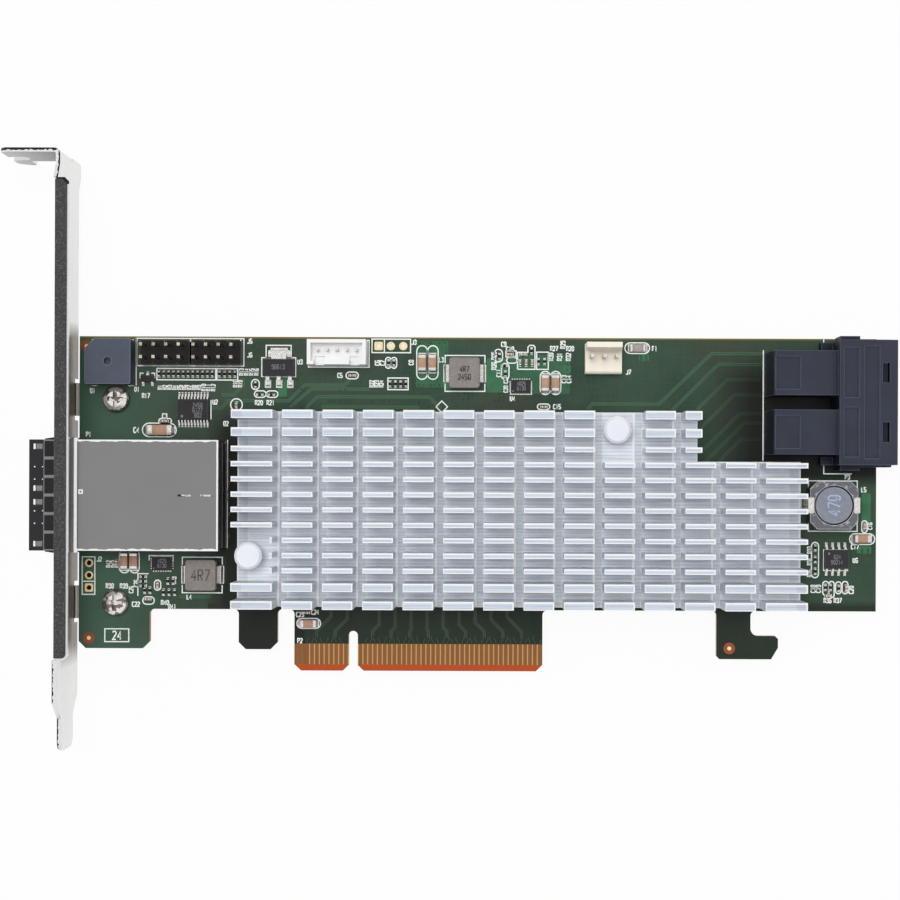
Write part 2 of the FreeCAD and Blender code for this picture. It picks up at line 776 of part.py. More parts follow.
def mounting_bracket():
    """Folded steel bracket: plate, screw tab, long stiffening flange and two board ears."""
    turn = SHEET + BEND
    flange_end = BRACKET_OUTER + FLANGE_REACH
    plate = bracket_plate()
    plate = plate.cut(box(BRACKET_OUTER, BRACKET_INNER, FLANGE_LOW, FLANGE_HIGH, NEAR_Z - turn, NEAR_Z))
    flange = [
        (BRACKET_OUTER, NEAR_Z - turn - PAST, 0),
        (BRACKET_OUTER, NEAR_Z, turn),
        (flange_end, NEAR_Z, 0),
        (flange_end, NEAR_Z - SHEET, 0),
        (BRACKET_INNER, NEAR_Z - SHEET, BEND),
        (BRACKET_INNER, NEAR_Z - turn - PAST, 0),
    ]
    strip = xz_prism(flange, FLANGE_LOW, FLANGE_HIGH)
    trim_low = xy_prism(flange_corner(flange_end, FLANGE_LOW, 1), NEAR_Z - SHEET - BEND, NEAR_Z + PAST)
    trim_high = xy_prism(flange_corner(flange_end, FLANGE_HIGH, -1), NEAR_Z - SHEET - BEND, NEAR_Z + PAST)
    strip = strip.cut([trim_low, trim_high])
    pieces = [plate, strip, bracket_tab()]
    for y in (SCREW_UPPER_Y, SCREW_LOWER_Y):
        half = EAR_WIDTH / 2 + EAR_RELIEF
        relief_top = BACK - SHEET + turn
        relief = box(BRACKET_OUTER, BRACKET_INNER, y - half, y + half, FAR_Z - PAST, relief_top)
        pieces[0] = pieces[0].cut(relief)
        pieces.append(bracket_ear(y))
    reach = WINDOW_CLEARANCE
    window = [
        (CAGE_LOW - reach, FACE - reach, WINDOW_ROUND),
        (CAGE_HIGH + reach, FACE - reach, WINDOW_ROUND),
        (CAGE_HIGH + reach, CAGE_TOP + reach, WINDOW_ROUND),
        (CAGE_LOW - reach, CAGE_TOP + reach, WINDOW_ROUND),
    ]
    return joined(pieces).cut(yz_prism(window, BRACKET_OUTER - PAST, BRACKET_INNER + PAST))


def flange_corner(x, y, side):
    """Triangle that cuts a free corner of the flange; side is 1 at the low end, -1 at the high end."""
    cut = SHEET
    return [(x - cut, y, 0), (x + PAST, y - side * PAST, 0), (x + PAST, y + side * (cut + PAST), 0)]


def bracket_gasket():
    """Dark conductive foam strip on the bracket's flange."""
    x0 = BRACKET_OUTER + BEND
    x1 = BRACKET_OUTER + FLANGE_REACH - GASKET_RIM
    low = FLANGE_LOW + GASKET_RIM
    corners = [
        (x0, low, 0),
        (x1, low, SHEET),
        (x1, FLANGE_HIGH - GASKET_RIM, -SHEET),
        (x0, FLANGE_HIGH - GASKET_RIM, 0),
    ]
    return xy_prism(corners, NEAR_Z, NEAR_Z + GASKET_THICKNESS)


def bracket_screw(y):
    """Pan-head screw with a cross recess."""
    top = FACE + SCREW_HEAD_HEIGHT
    profile = [
        (0, BACK - SHEET - SCREW_TAIL),
        (SCREW_RADIUS, BACK - SHEET - SCREW_TAIL),
        (SCREW_RADIUS, FACE),
        (SCREW_HEAD_RADIUS, FACE),
        (SCREW_HEAD_RADIUS, FACE + SCREW_HEAD_RIM),
        (SCREW_HEAD_CROWN, top - SCREW_CROWN_DROP),
        (SCREW_HEAD_FLAT, top),
        (0, top),
    ]
    screw = turned(profile, SCREW_X, y)
    across = block(SCREW_X, y, RECESS_LENGTH, RECESS_WIDTH, top - RECESS_DEPTH, top + PAST)
    along = block(SCREW_X, y, RECESS_WIDTH, RECESS_LENGTH, top - RECESS_DEPTH, top + PAST)
    return screw.cut([across, along])


def bay_width():
    """Clear width of one bay of the outside cage."""
    return (CAGE_WIDTH - 3 * CAGE_WALL) / 2


def bay_centre(side):
    """Middle of a bay: side is 1 for the upper port, -1 for the lower."""
    return CAGE_Y + side * (bay_width() + CAGE_WALL) / 2


def external_port_cage():
    """Folded metal cage with two bays, open at the front, with a rim and press-in tails."""
    cage = box(CAGE_FRONT, CAGE_REAR, CAGE_LOW, CAGE_HIGH, FACE, CAGE_TOP)
    half = bay_width() / 2
    bays = []
    for side in (-1, 1):
        y = bay_centre(side)
        inside = (FACE + CAGE_WALL, CAGE_TOP - CAGE_WALL)
        bays.append(box(CAGE_FRONT - PAST, CAGE_REAR - CAGE_WALL, y - half, y + half, *inside))
    cage = cage.cut(bays)
    rim_front = BOARD_LEFT + CAGE_RIM_FROM_EDGE
    rim_rear = rim_front + CAGE_RIM_LENGTH
    rim = box(rim_front, rim_rear, CAGE_LOW - CAGE_RIM, CAGE_HIGH + CAGE_RIM, FACE, CAGE_TOP + CAGE_RIM)
    rim = rim.cut(box(rim_front, rim_rear, CAGE_LOW, CAGE_HIGH, FACE, CAGE_TOP))
    width = CAGE_TAIL_WIDTH / 2
    tails = []
    for x, y in cage_tails():
        side = CAGE_WALL / 2
        tails.append(box(x - width, x + width, y - side, y + side, BACK - PIN_TAIL, FACE + CAGE_WALL))
    slits = []
    for i in range(2):
        x = CAGE_REAR - CAGE_SLIT_FROM_REAR - i * CAGE_SLIT_PITCH
        depth = (CAGE_TOP - CAGE_WALL / 2, CAGE_TOP + PAST)
        slits.append(block(x, CAGE_Y, CAGE_SLIT_LENGTH, CAGE_SLIT_WIDTH, *depth))
    return joined([cage, rim] + tails).cut(slits)


def external_port_front_frame():
    """Dark frame that ends the cage in front of the bracket."""
    front = CAGE_FRONT - FRAME_LENGTH
    frame = box(front, CAGE_FRONT, CAGE_LOW, CAGE_HIGH, FACE, CAGE_TOP)
    half = bay_width() / 2 + CAGE_WALL - FRAME_WALL
    cuts = []
    for side in (-1, 1):
        y = bay_centre(side)
        cuts.append(box(front, CAGE_FRONT, y - half, y + half, FACE + FRAME_WALL, CAGE_TOP - FRAME_WALL))
        for edge in (-1, 1):
            pit_y = CAGE_Y + side * CAGE_WIDTH / 4 + edge * (FRAME_PIT_SPREAD / 2 - FRAME_PIT_WIDTH)
            pit_x = front + FRAME_PIT_INSET + FRAME_PIT_LENGTH / 2
            pit = (CAGE_TOP - FRAME_PIT_DEPTH, CAGE_TOP + PAST)
            cuts.append(block(pit_x, pit_y, FRAME_PIT_LENGTH, FRAME_PIT_WIDTH, *pit))
    return frame.cut(cuts)


def finger_profile(base, away):
    """Bowed spring finger over a wall at height base; away is 1 above it, -1 below."""
    root = BRACKET_INNER
    crest = BRACKET_OUTER
    tip = crest - FINGER_REACH
    near = base
    outer = base + away * COLLAR_SHEET
    bow = away * FINGER_BOW
    corners = [(root, near, 0), (crest, near + bow, 0), (tip, near, 0)]
    corners += [(tip, outer, 0), (crest, outer + bow, 0), (root, outer, 0)]
    return corners


def external_port_spring_collar():
    """Springy earth collar round the cage, with fingers through the bracket's window."""
    rear = BOARD_LEFT
    front = BRACKET_INNER
    band = COLLAR_SHEET
    ring = box(front, rear, CAGE_LOW - band, CAGE_HIGH + band, FACE - band, CAGE_TOP + band)
    hood = box(rear, rear + COLLAR_TOP_LENGTH, CAGE_LOW - band, CAGE_HIGH + band, FACE, CAGE_TOP + band)
    core = box(front, rear + COLLAR_TOP_LENGTH, CAGE_LOW, CAGE_HIGH, FACE, CAGE_TOP)
    pieces = [joined([ring, hood]).cut(core)]
    pitch = CAGE_WIDTH / FINGER_COUNT
    width = pitch - FINGER_GAP
    for dy in spread(FINGER_COUNT, pitch):
        low = CAGE_Y + dy - width / 2
        pieces.append(xz_prism(finger_profile(CAGE_TOP, 1), low, low + width))
        pieces.append(xz_prism(finger_profile(FACE, -1), low, low + width))
    side_count = FINGER_COUNT // 2
    side_pitch = CAGE_HEIGHT / side_count
    side_width = side_pitch - FINGER_GAP
    middle = (FACE + CAGE_TOP) / 2
    for dz in spread(side_count, side_pitch):
        low = middle + dz - side_width / 2
        pieces.append(xy_prism(finger_profile(CAGE_HIGH, 1), low, low + side_width))
        pieces.append(xy_prism(finger_profile(CAGE_LOW, -1), low, low + side_width))
    return joined(pieces)


def insert_levels():
    """Heights of the two card slots in an outside port insert."""
    middle = (FACE + CAGE_TOP) / 2
    return [middle + dz for dz in spread(2, SLOT_SPACING)]


def external_port_insert(side):
    """Plastic insert at the back of one bay, with two card slots."""
    y = bay_centre(side)
    half = bay_width() / 2 - INSERT_CLEARANCE
    rear = CAGE_REAR - CAGE_WALL
    front = rear - INSERT_LENGTH
    low = FACE + CAGE_WALL
    high = CAGE_TOP - CAGE_WALL - INSERT_CLEARANCE
    insert = box(front, rear, y - half, y + half, low, high)
    slots = []
    for z in insert_levels():
        gap = SLOT_HEIGHT / 2
        side = (y - half + SLOT_SIDE, y + half - SLOT_SIDE)
        slots.append(box(front, front + SLOT_DEPTH, *side, z - gap, z + gap))
    return insert.cut(slots)


def terminal_rows(x0, x1, centres, levels, width):
    """Rows of contact blades on the roof and floor of each slot."""
    pitch = width / TERMINAL_COUNT
    half = TERMINAL_WIDTH / 2
    gap = SLOT_HEIGHT / 2
    blades = []
    for y in centres:
        for z in levels:
            for dy in spread(TERMINAL_COUNT, pitch):
                side = (y + dy - half, y + dy + half)
                blades.append(box(x0, x1, *side, z - gap, z - gap + TERMINAL_THICKNESS))
                blades.append(box(x0, x1, *side, z + gap - TERMINAL_THICKNESS, z + gap))
    return group(blades)


def external_port_contacts():
    """Contact blades of both outside ports."""
    front = CAGE_REAR - CAGE_WALL - INSERT_LENGTH
    width = bay_width() - 2 * (INSERT_CLEARANCE + SLOT_SIDE)
    centres = [bay_centre(side) for side in (-1, 1)]
    back = front + SLOT_DEPTH
    return terminal_rows(back - TERMINAL_LENGTH, back, centres, insert_levels(), width)


def controller_substrate():
    """Package of the controller chip."""
    return block(CHIP_X, CHIP_Y, SUBSTRATE_SIDE, SUBSTRATE_SIDE, FACE, FACE + SUBSTRATE_HEIGHT)


def controller_lid():
    """Metal lid on the package."""
    return rounded_block(CHIP_X, CHIP_Y, LID_SIDE, LID_SIDE, PAST, FACE + SUBSTRATE_HEIGHT, CHIP_TOP)


def thermal_pad():
    """Soft pad between lid and heatsink."""
    return block(CHIP_X, CHIP_Y, LID_SIDE, LID_SIDE, CHIP_TOP, SINK_BOTTOM)


def fin_rows():
    """Middle and thickness of each fin, from the low edge up."""
    thin = [(SINK_CENTRE_Y + dy, THIN_FIN) for dy in spread(THIN_FINS, THIN_PITCH)]
    thick = []
    for i in range(THICK_FINS):
        offset = THICK_FIRST + i * THICK_PITCH
        thick.append((SINK_CENTRE_Y - offset, THICK_FIN))
        thick.append((SINK_CENTRE_Y + offset, THICK_FIN))
    return sorted(thin + thick)


def heatsink():
    """Pin-fin block: an extruded comb, cross-cut into pins, notched at one corner for the inside ports."""
    rows = fin_rows()
    low = rows[0][0] - rows[0][1] / 2
    high = rows[-1][0] + rows[-1][1] / 2
    comb = [(low, SINK_BOTTOM, 0)]
    for y, thickness in rows:
        comb += [(y - thickness / 2, SINK_FLOOR, 0), (y - thickness / 2, SINK_TOP, 0)]
        comb += [(y + thickness / 2, SINK_TOP, 0), (y + thickness / 2, SINK_FLOOR, 0)]
    comb = comb[:1] + comb[2:-1] + [(high, SINK_BOTTOM, 0)]
    block_shape = yz_prism(comb, SINK_LEFT, SINK_RIGHT)
    cuts = []
    past_top = SINK_TOP + PAST
    for i in range(CROSS_CUTS):
        x = SINK_LEFT + FIRST_CROSS_CUT + i * CROSS_PITCH
        cuts.append(box(x - CROSS_CUT / 2, x + CROSS_CUT / 2, low - PAST, high + PAST, SINK_FLOOR, past_top))
    cuts.append(box(NOTCH_LEFT, SINK_RIGHT + PAST, NOTCH_LOW, high + PAST, SINK_BOTTOM - PAST, past_top))
    for name, (x, y) in PUSH_PINS.items():
        shift = POCKET_SHIFT if name == "right" else 0
        cuts.append(block(x + shift, y, POCKET_LENGTH, POCKET_WIDTH, SINK_FLOOR, SINK_TOP + PAST))
        cuts.append(rod(PIN_STEM + PIN_CLEARANCE, x, y, SINK_BOTTOM - PAST, SINK_FLOOR + PAST))
    return block_shape.cut(cuts).removeSplitter()


def push_pin(name):
    """Plastic push pin: head, stem through heatsink and board, and a split barb behind the board."""
    x, y = PUSH_PINS[name]
    head = SINK_FLOOR + PIN_LIFT
    tip = BACK - PIN_BARB_LENGTH
    shoulder = BACK - PIN_CLEARANCE
    profile = [
        (0, tip),
        (PIN_TIP, tip),
        (PIN_BARB, shoulder - PIN_BARB_EDGE),
        (PIN_BARB, shoulder),
        (PIN_STEM, shoulder),
        (PIN_STEM, head),
        (PIN_HEAD, head),
        (PIN_HEAD, head + PIN_HEAD_HEIGHT - PIN_HEAD_CHAMFER),
        (PIN_HEAD - PIN_HEAD_CHAMFER, head + PIN_HEAD_HEIGHT),
        (0, head + PIN_HEAD_HEIGHT),
    ]
    split = block(x, y, PIN_SPLIT, 3 * PIN_BARB, tip - PAST, BACK)
    return turned(profile, x, y).cut(split)


def push_pin_spring(name):
    """Square-wire coil spring between the heatsink's base and the pin's head."""
    x, y = PUSH_PINS[name]
    inner = PIN_STEM + SPRING_CLEARANCE
    outer = inner + SPRING_WIRE
    steps = SPRING_TURNS * SPRING_STEPS
    sections = []
    for i in range(steps + 1):
        angle = 2 * math.pi * i / SPRING_STEPS
        low = SINK_FLOOR + (PIN_LIFT - SPRING_WIRE) * i / steps
        high = low + SPRING_WIRE
        out = V(math.cos(angle), math.sin(angle), 0)
        points = [V(x, y, z) + out * r for r, z in ((inner, low), (outer, low), (outer, high), (inner, high))]
        sections.append(Part.makePolygon(points + points[:1]))
    return Part.makeLoft(sections, True, True)


def mouth_centres():
    """Middles of the two inside ports, in line with the housing's arms."""
    return [ARM_LOWER_Y, ARM_UPPER_Y]


def internal_port_housing():
    """One moulded housing: two arms behind, a front block with two mouths, ribs and board pegs."""
    front_top = FACE + HOUSING_HEIGHT
    arm_top = FACE + ARM_HEIGHT
    pieces = [box(HOUSING_STEP, HOUSING_FRONT, HOUSING_LOW, HOUSING_HIGH, FACE, front_top)]
    for y in mouth_centres():
        side = [
            (HOUSING_REAR, FACE, 0),
            (HOUSING_STEP + PAST, FACE, 0),
            (HOUSING_STEP + PAST, arm_top, 0),
            (HOUSING_REAR + ARM_SLOPE, arm_top, -PANEL_DEPTH),
        ]
        pieces.append(xz_prism(side, y - ARM_WIDTH / 2, y + ARM_WIDTH / 2))
    rib_end = HOUSING_STEP + PAST + SIDE_RIB_LENGTH
    for edge, away in ((HOUSING_LOW, -1), (HOUSING_HIGH, 1)):
        near, far = sorted((edge, edge + away * SIDE_RIB_REACH))
        pieces.append(box(HOUSING_STEP + PAST, rib_end, near, far, FACE, FACE + SIDE_RIB_HEIGHT))
        near, far = sorted((edge, edge + away * LONG_RIB_REACH))
        long_end = HOUSING_STEP + PAST + LONG_RIB_LENGTH
        pieces.append(box(HOUSING_STEP + PAST, long_end, near, far, FACE, FACE + SIDE_RIB_HEIGHT))
        near, far = sorted((edge, edge - away * LOCK_LEDGE_WIDTH))
        ledge = HOUSING_STEP - LOCK_LEDGE_LENGTH
        pieces.append(box(ledge, HOUSING_STEP, near, far, FACE, FACE + LOCK_LEDGE_HEIGHT))
    pieces += [rod(LOCK_PEG, x, y, BACK - PIN_TAIL, FACE + PAST) for x, y in lock_pegs()]
    cuts = []
    for y in mouth_centres():
        half = MOUTH_WIDTH / 2
        roof = MOUTH_LOW_Z + MOUTH_HEIGHT
        cuts.append(box(HOUSING_FRONT - MOUTH_DEPTH, HOUSING_FRONT, y - half, y + half, MOUTH_LOW_Z, roof))
        latch = HOUSING_FRONT - LATCH_FROM_FRONT - LATCH_LENGTH / 2
        cuts.append(block(latch, y, LATCH_LENGTH, LATCH_WIDTH, roof - PAST, front_top + PAST))
        panel = HOUSING_REAR + ARM_SLOPE + ARM_PANEL_LENGTH / 2 + PANEL_DEPTH
        sunk = (arm_top - PANEL_DEPTH, arm_top + PAST)
        cuts.append(block(panel, y, ARM_PANEL_LENGTH, ARM_PANEL_WIDTH, *sunk))
        rear = HOUSING_STEP + FRONT_PANEL_INSET + FRONT_PANEL_LENGTH / 2
        sunk = (front_top - PANEL_DEPTH, front_top + PAST)
        cuts.append(block(rear, y, FRONT_PANEL_LENGTH, MOUTH_WIDTH, *sunk))
    middle = (HOUSING_LOW + HOUSING_HIGH) / 2
    width = HOUSING_HIGH - HOUSING_LOW - 2 * PANEL_INSET
    front = HOUSING_STEP + FRONT_PANEL_INSET + FRONT_PANEL_PITCH + FRONT_PANEL_LENGTH / 2
    cuts.append(block(front, middle, FRONT_PANEL_LENGTH, width, front_top - PANEL_DEPTH, front_top + PAST))
    return joined(pieces).cut(cuts)


def socket_levels():
    """Heights of the two card slots of an inside port."""
    middle = MOUTH_LOW_Z + MOUTH_HEIGHT / 2
    return [middle + dz for dz in spread(2, SOCKET_SLOT_SPACING)]


def internal_port_insert(y):
    """Contact block at the bottom of one mouth, with two card slots."""
    back = HOUSING_FRONT - MOUTH_DEPTH
    front = back + SOCKET_INSERT_LENGTH
    half = MOUTH_WIDTH / 2 - INSERT_CLEARANCE
    roof = MOUTH_LOW_Z + MOUTH_HEIGHT - INSERT_CLEARANCE
    insert = box(back, front, y - half, y + half, MOUTH_LOW_Z, roof)
    slots = []
    for z in socket_levels():
        gap = SLOT_HEIGHT / 2
        side = (y - half + SLOT_SIDE, y + half - SLOT_SIDE)
        slots.append(box(front - SOCKET_SLOT_DEPTH, front, *side, z - gap, z + gap))
    return insert.cut(slots)


def internal_port_contacts():
    """Contact blades of both inside ports."""
    front = HOUSING_FRONT - MOUTH_DEPTH + SOCKET_INSERT_LENGTH
    width = MOUTH_WIDTH - 2 * (INSERT_CLEARANCE + SLOT_SIDE)
    return terminal_rows(front - SOCKET_SLOT_DEPTH, front, mouth_centres(), socket_levels(), width)


def sounder_case():
    """Square sounder with one cut corner and a sound hole."""
    right = SOUNDER_LEFT + SOUNDER_SIDE
    low = SOUNDER_TOP - SOUNDER_SIDE
    top = FACE + SOUNDER_HEIGHT
    corners = [
        (SOUNDER_LEFT, low, BEND),
        (right, low, BEND),
        (right, SOUNDER_TOP, BEND),
        (SOUNDER_LEFT, SOUNDER_TOP, -SOUNDER_CORNER),
    ]
    case = xy_prism(corners, FACE + LEAD_SHEET, top)
    x = SOUNDER_LEFT + SOUNDER_SIDE / 2
    y = SOUNDER_TOP - SOUNDER_SIDE / 2
    return case.cut(rod(SOUNDER_HOLE, x, y, top - SOUNDER_HOLE_DEPTH, top + PAST))


def sounder_terminals():
    """Four flat solder feet under the sounder."""
    feet = []
    for dx in spread(2, SOUNDER_SIDE - 2 * SOUNDER_FOOT_INSET):
        for dy in spread(2, SOUNDER_SIDE - SOUNDER_FOOT_WIDTH + 2 * SOUNDER_FOOT_REACH):
            x = SOUNDER_LEFT + SOUNDER_SIDE / 2 + dx
            y = SOUNDER_TOP - SOUNDER_SIDE / 2 + dy
            feet.append(block(x, y, SOUNDER_FOOT_LENGTH, SOUNDER_FOOT_WIDTH, FACE, FACE + LEAD_SHEET))
    return group(feet)


def square_pins(places, side, top):
    """Square pins through the board."""
    return [block(x, y, side, side, BACK - PIN_TAIL, FACE + top) for x, y in places]


def header_body(x):
    """Header body with notches between its columns."""
    half = HEADER_COLUMNS * GRID / 2
    low = HEADER_Y - GRID
    high = HEADER_Y + GRID
    notch = HEADER_NOTCH
    lower = []
    upper = []
    for i in range(HEADER_COLUMNS):
        left = x - half + i * GRID
        right = left + GRID
        lower += [(left, low + notch, 0), (left + notch, low, 0), (right - notch, low, 0)]
        upper += [(left, high - notch, 0), (left + notch, high, 0), (right - notch, high, 0)]
    lower.append((x + half, low + notch, 0))
    upper.append((x + half, high - notch, 0))
    body = xy_prism(lower + upper[::-1], FACE, FACE + HEADER_HEIGHT)
    return body.cut(square_pins(header_pins(x), PIN_SIDE, HEADER_PIN_TOP))


def header_pins_group(x):
    """Pins of one header."""
    return group(square_pins(header_pins(x), PIN_SIDE, HEADER_PIN_TOP))


def data_connector_body():
    """White open box with two side slots."""
    left = DATA_X - DATA_LENGTH / 2
    right = DATA_X + DATA_LENGTH / 2
    body = box(left, right, DATA_LOW, DATA_HIGH, FACE, FACE + DATA_HEIGHT)
    wall = DATA_WALL
    floor = FACE + DATA_FLOOR
    past = FACE + DATA_HEIGHT + PAST
    hollow = box(left + wall, right - wall, DATA_LOW + wall, DATA_HIGH - wall, floor, past)
    slots = []
    for dx in spread(2, DATA_SLOT_SPREAD):
        x = DATA_X + dx
        through = (DATA_LOW - PAST, DATA_LOW + wall + PAST)
        slots.append(box(x - DATA_SLOT / 2, x + DATA_SLOT / 2, *through, FACE + DATA_SLOT_SILL, past))
    return body.cut([hollow] + slots + square_pins(data_pins(), DATA_PIN_SIDE, DATA_PIN_TOP))


def data_connector_pins():
    """Pins of the white connector."""
    return group(square_pins(data_pins(), DATA_PIN_SIDE, DATA_PIN_TOP))


def fan_connector_body():
    """Cream base with a locking wall along its upper side."""
    left = FAN_X - FAN_LENGTH / 2
    right = FAN_X + FAN_LENGTH / 2
    base = FACE + FAN_HEIGHT
    top = FACE + FAN_WALL_HEIGHT
    inside = FAN_HIGH - FAN_WALL
    side = [
        (FAN_LOW, FACE, 0),
        (FAN_LOW, base, -BEND),
        (inside, base, 0),
        (inside, top - FAN_LIP_DROP - FAN_LIP, 0),
        (inside - FAN_LIP, top - FAN_LIP_DROP, 0),
        (inside, top, 0),
        (FAN_HIGH, top, 0),
        (FAN_HIGH, FACE, 0),
    ]
    body = yz_prism(side, left, right)
    trims = []
    for edge, away in ((left, 1), (right, -1)):
        x0, x1 = sorted((edge - away * PAST, edge + away * FAN_WALL_INSET))
        trims.append(box(x0, x1, inside - FAN_WALL, FAN_HIGH + PAST, base, top + PAST))
    return body.cut(trims + square_pins(fan_pins(), PIN_SIDE, FAN_PIN_TOP))


def fan_connector_pins():
    """Pins of the fan connector."""
    return group(square_pins(fan_pins(), PIN_SIDE, FAN_PIN_TOP))


def inductor_core(x, y):
    """Pressed powder core with notches for its clips."""
    core = rounded_block(x, y, COIL_SIDE, COIL_SIDE, COIL_CORNER, FACE + COIL_CLIP_SHEET, FACE + COIL_HEIGHT)
    reach = COIL_SIDE / 2
    notches = []
    for side in (-1, 1):
        x0, x1 = sorted((x + side * (reach - COIL_CLIP_SHEET), x + side * (reach + PAST)))
        half = COIL_CLIP_WIDTH / 2
        notches.append(box(x0, x1, y - half, y + half, FACE, FACE + COIL_CLIP_HEIGHT))
    return core.cut(notches)


def inductor_clips(x, y):
    """Two solder clips: a foot beside and under the core and a leg up its side."""
    reach = COIL_SIDE / 2
    half = COIL_CLIP_WIDTH / 2
    clips = []
    for side in (-1, 1):
        foot = sorted((x + side * (reach - COIL_CLIP_UNDER), x + side * (reach + COIL_CLIP)))
        leg = sorted((x + side * (reach - COIL_CLIP_SHEET), x + side * reach))
        foot_box = box(*foot, y - half, y + half, FACE, FACE + COIL_CLIP_SHEET)
        clips.append(joined([foot_box, box(*leg, y - half, y + half, FACE, FACE + COIL_CLIP_HEIGHT)]))
    return group(clips)


def drum_inductor_shield():
    """Square ferrite shield with cut corners, a round bore and two clip notches."""
    top = FACE + DRUM_HEIGHT
    bottom = FACE + DRUM_CLIP_SHEET
    shield = rounded_block(DRUM_X, DRUM_Y, DRUM_SHIELD, DRUM_SHIELD, -DRUM_CORNER, bottom, top)
    cuts = [rod(DRUM_BORE, DRUM_X, DRUM_Y, FACE, top + PAST)]
    for side in (-1, 1):
        edge = DRUM_X + side * DRUM_SHIELD / 2
        x0, x1 = sorted((edge - side * DRUM_NOTCH_DEPTH, edge + side * PAST))
        half = DRUM_NOTCH / 2
        cuts.append(box(x0, x1, DRUM_Y - half, DRUM_Y + half, FACE, top + PAST))
    return shield.cut(cuts)


def drum_inductor_core():
    """Drum core: two flanges on a neck."""
    bottom = FACE + DRUM_CLIP_SHEET
    top = FACE + DRUM_HEIGHT
    profile = [
        (0, bottom),
        (DRUM_RADIUS, bottom),
        (DRUM_RADIUS, bottom + DRUM_FLANGE),
        (DRUM_NECK, bottom + DRUM_FLANGE),
        (DRUM_NECK, top - DRUM_FLANGE),
        (DRUM_RADIUS, top - DRUM_FLANGE),
        (DRUM_RADIUS, top - BEND / 2),
        (DRUM_RADIUS - BEND / 2, top),
        (0, top),
    ]
    return turned(profile, DRUM_X, DRUM_Y)


def drum_inductor_terminals():
    """Two folded clips under the drum and up the shield's notches."""
    half = DRUM_NOTCH / 2 - DRUM_CLIP_CLEARANCE
    clips = []
    for side in (-1, 1):
        edge = DRUM_X + side * DRUM_SHIELD / 2
        inner = edge - side * DRUM_NOTCH_DEPTH
        foot = sorted((edge + side * (DRUM_CLIP_REACH - DRUM_CLIP_FOOT), edge + side * DRUM_CLIP_REACH))
        leg = sorted((inner, inner + side * DRUM_CLIP_SHEET))
        foot_box = box(*foot, DRUM_Y - half, DRUM_Y + half, FACE, FACE + DRUM_CLIP_SHEET)
        leg_box = box(*leg, DRUM_Y - half, DRUM_Y + half, FACE, FACE + DRUM_CLIP_HEIGHT)
        clips.append(joined([foot_box, leg_box]))
    return group(clips)


def moulded_body(x, y, length, width, height):
    """Chip body whose sides lean in above and below its middle."""
    bottom = FACE + CHIP_LIFT
    middle = bottom + height * LEAD_LEVEL
    levels = [(bottom, CHIP_DRAFT), (middle, 0), (bottom + height, CHIP_DRAFT)]
    wires = []
    for z, lean in levels:
        a = length / 2 - lean
        b = width / 2 - lean
        points = [V(x - a, y - b, z), V(x + a, y - b, z), V(x + a, y + b, z), V(x - a, y + b, z)]
        wires.append(Part.makePolygon(points + points[:1]))
    return Part.makeLoft(wires, True, True)


def gull_lead(x, y, side, width, half_body, half_span, body_height, lead_width):
    """Lead that leaves the body's middle, steps down and stands on its solder foot."""
    shoulder = FACE + CHIP_LIFT + body_height * LEAD_LEVEL
    foot = (half_span - half_body) * LEAD_FOOT
    knee = y + side * (half_span - foot)
    start = y + side * half_body
    end = y + side * half_span
    sheet = LEAD_SHEET
    bend = side * sheet
    corners = [
        (start, shoulder - sheet / 2, 0),
        (knee - bend, shoulder - sheet / 2, 0),
        (knee - bend, FACE, 0),
        (end, FACE, 0),
        (end, FACE + sheet, 0),
        (knee, FACE + sheet, 0),
        (knee, shoulder + sheet / 2, 0),
        (start, shoulder + sheet / 2, 0),
    ]
    return yz_prism(corners, x - lead_width / 2, x + lead_width / 2)


def lead_row(x, y, side, count, pitch, body_width, span, height, lead_width):
    """Row of leads along one side of a chip."""
    row = []
    for dx in spread(count, pitch):
        row.append(gull_lead(x + dx, y, side, lead_width, body_width / 2, span / 2, height, lead_width))
    return row


def buffer_chip_leads():
    """Leads of the buffer chip, both sides."""
    sizes = (BUFFER_LEADS, BUFFER_PITCH, BUFFER_WIDTH, BUFFER_SPAN, BUFFER_HEIGHT, BUFFER_LEAD_WIDTH)
    return group(lead_row(BUFFER_X, BUFFER_Y, 1, *sizes) + lead_row(BUFFER_X, BUFFER_Y, -1, *sizes))


def memory_chip_leads():
    """Leads of the memory chip, both sides."""
    sizes = (MEMORY_LEADS, MEMORY_PITCH, MEMORY_WIDTH, MEMORY_SPAN, MEMORY_HEIGHT, MEMORY_LEAD_WIDTH)
    return group(lead_row(MEMORY_X, MEMORY_Y, 1, *sizes) + lead_row(MEMORY_X, MEMORY_Y, -1, *sizes))


def regulator_leads():
    """Three leads on one side and the wide cooling tab on the other."""
    place = (REGULATOR_X, REGULATOR_Y)
    body = (REGULATOR_PITCH, REGULATOR_WIDTH, REGULATOR_SPAN, REGULATOR_HEIGHT)
    leads = lead_row(*place, -1, REGULATOR_LEADS, *body, REGULATOR_LEAD_WIDTH)
    tab = lead_row(*place, 1, 1, *body, REGULATOR_TAB_WIDTH)
    return group(leads + tab)


def transistor_leads():
    """One lead above and two below."""
    body = (TRANSISTOR_WIDTH, TRANSISTOR_SPAN, TRANSISTOR_HEIGHT, TRANSISTOR_LEAD_WIDTH)
    leads = lead_row(TRANSISTOR_X, TRANSISTOR_Y, 1, 1, TRANSISTOR_PITCH, *body)
    leads += lead_row(TRANSISTOR_X, TRANSISTOR_Y, -1, 2, TRANSISTOR_PITCH, *body)
    return group(leads)


def power_chip(x, y):
    """Flat leadless power chip."""
    return block(x, y, POWER_LENGTH, POWER_WIDTH, FACE, FACE + POWER_HEIGHT)


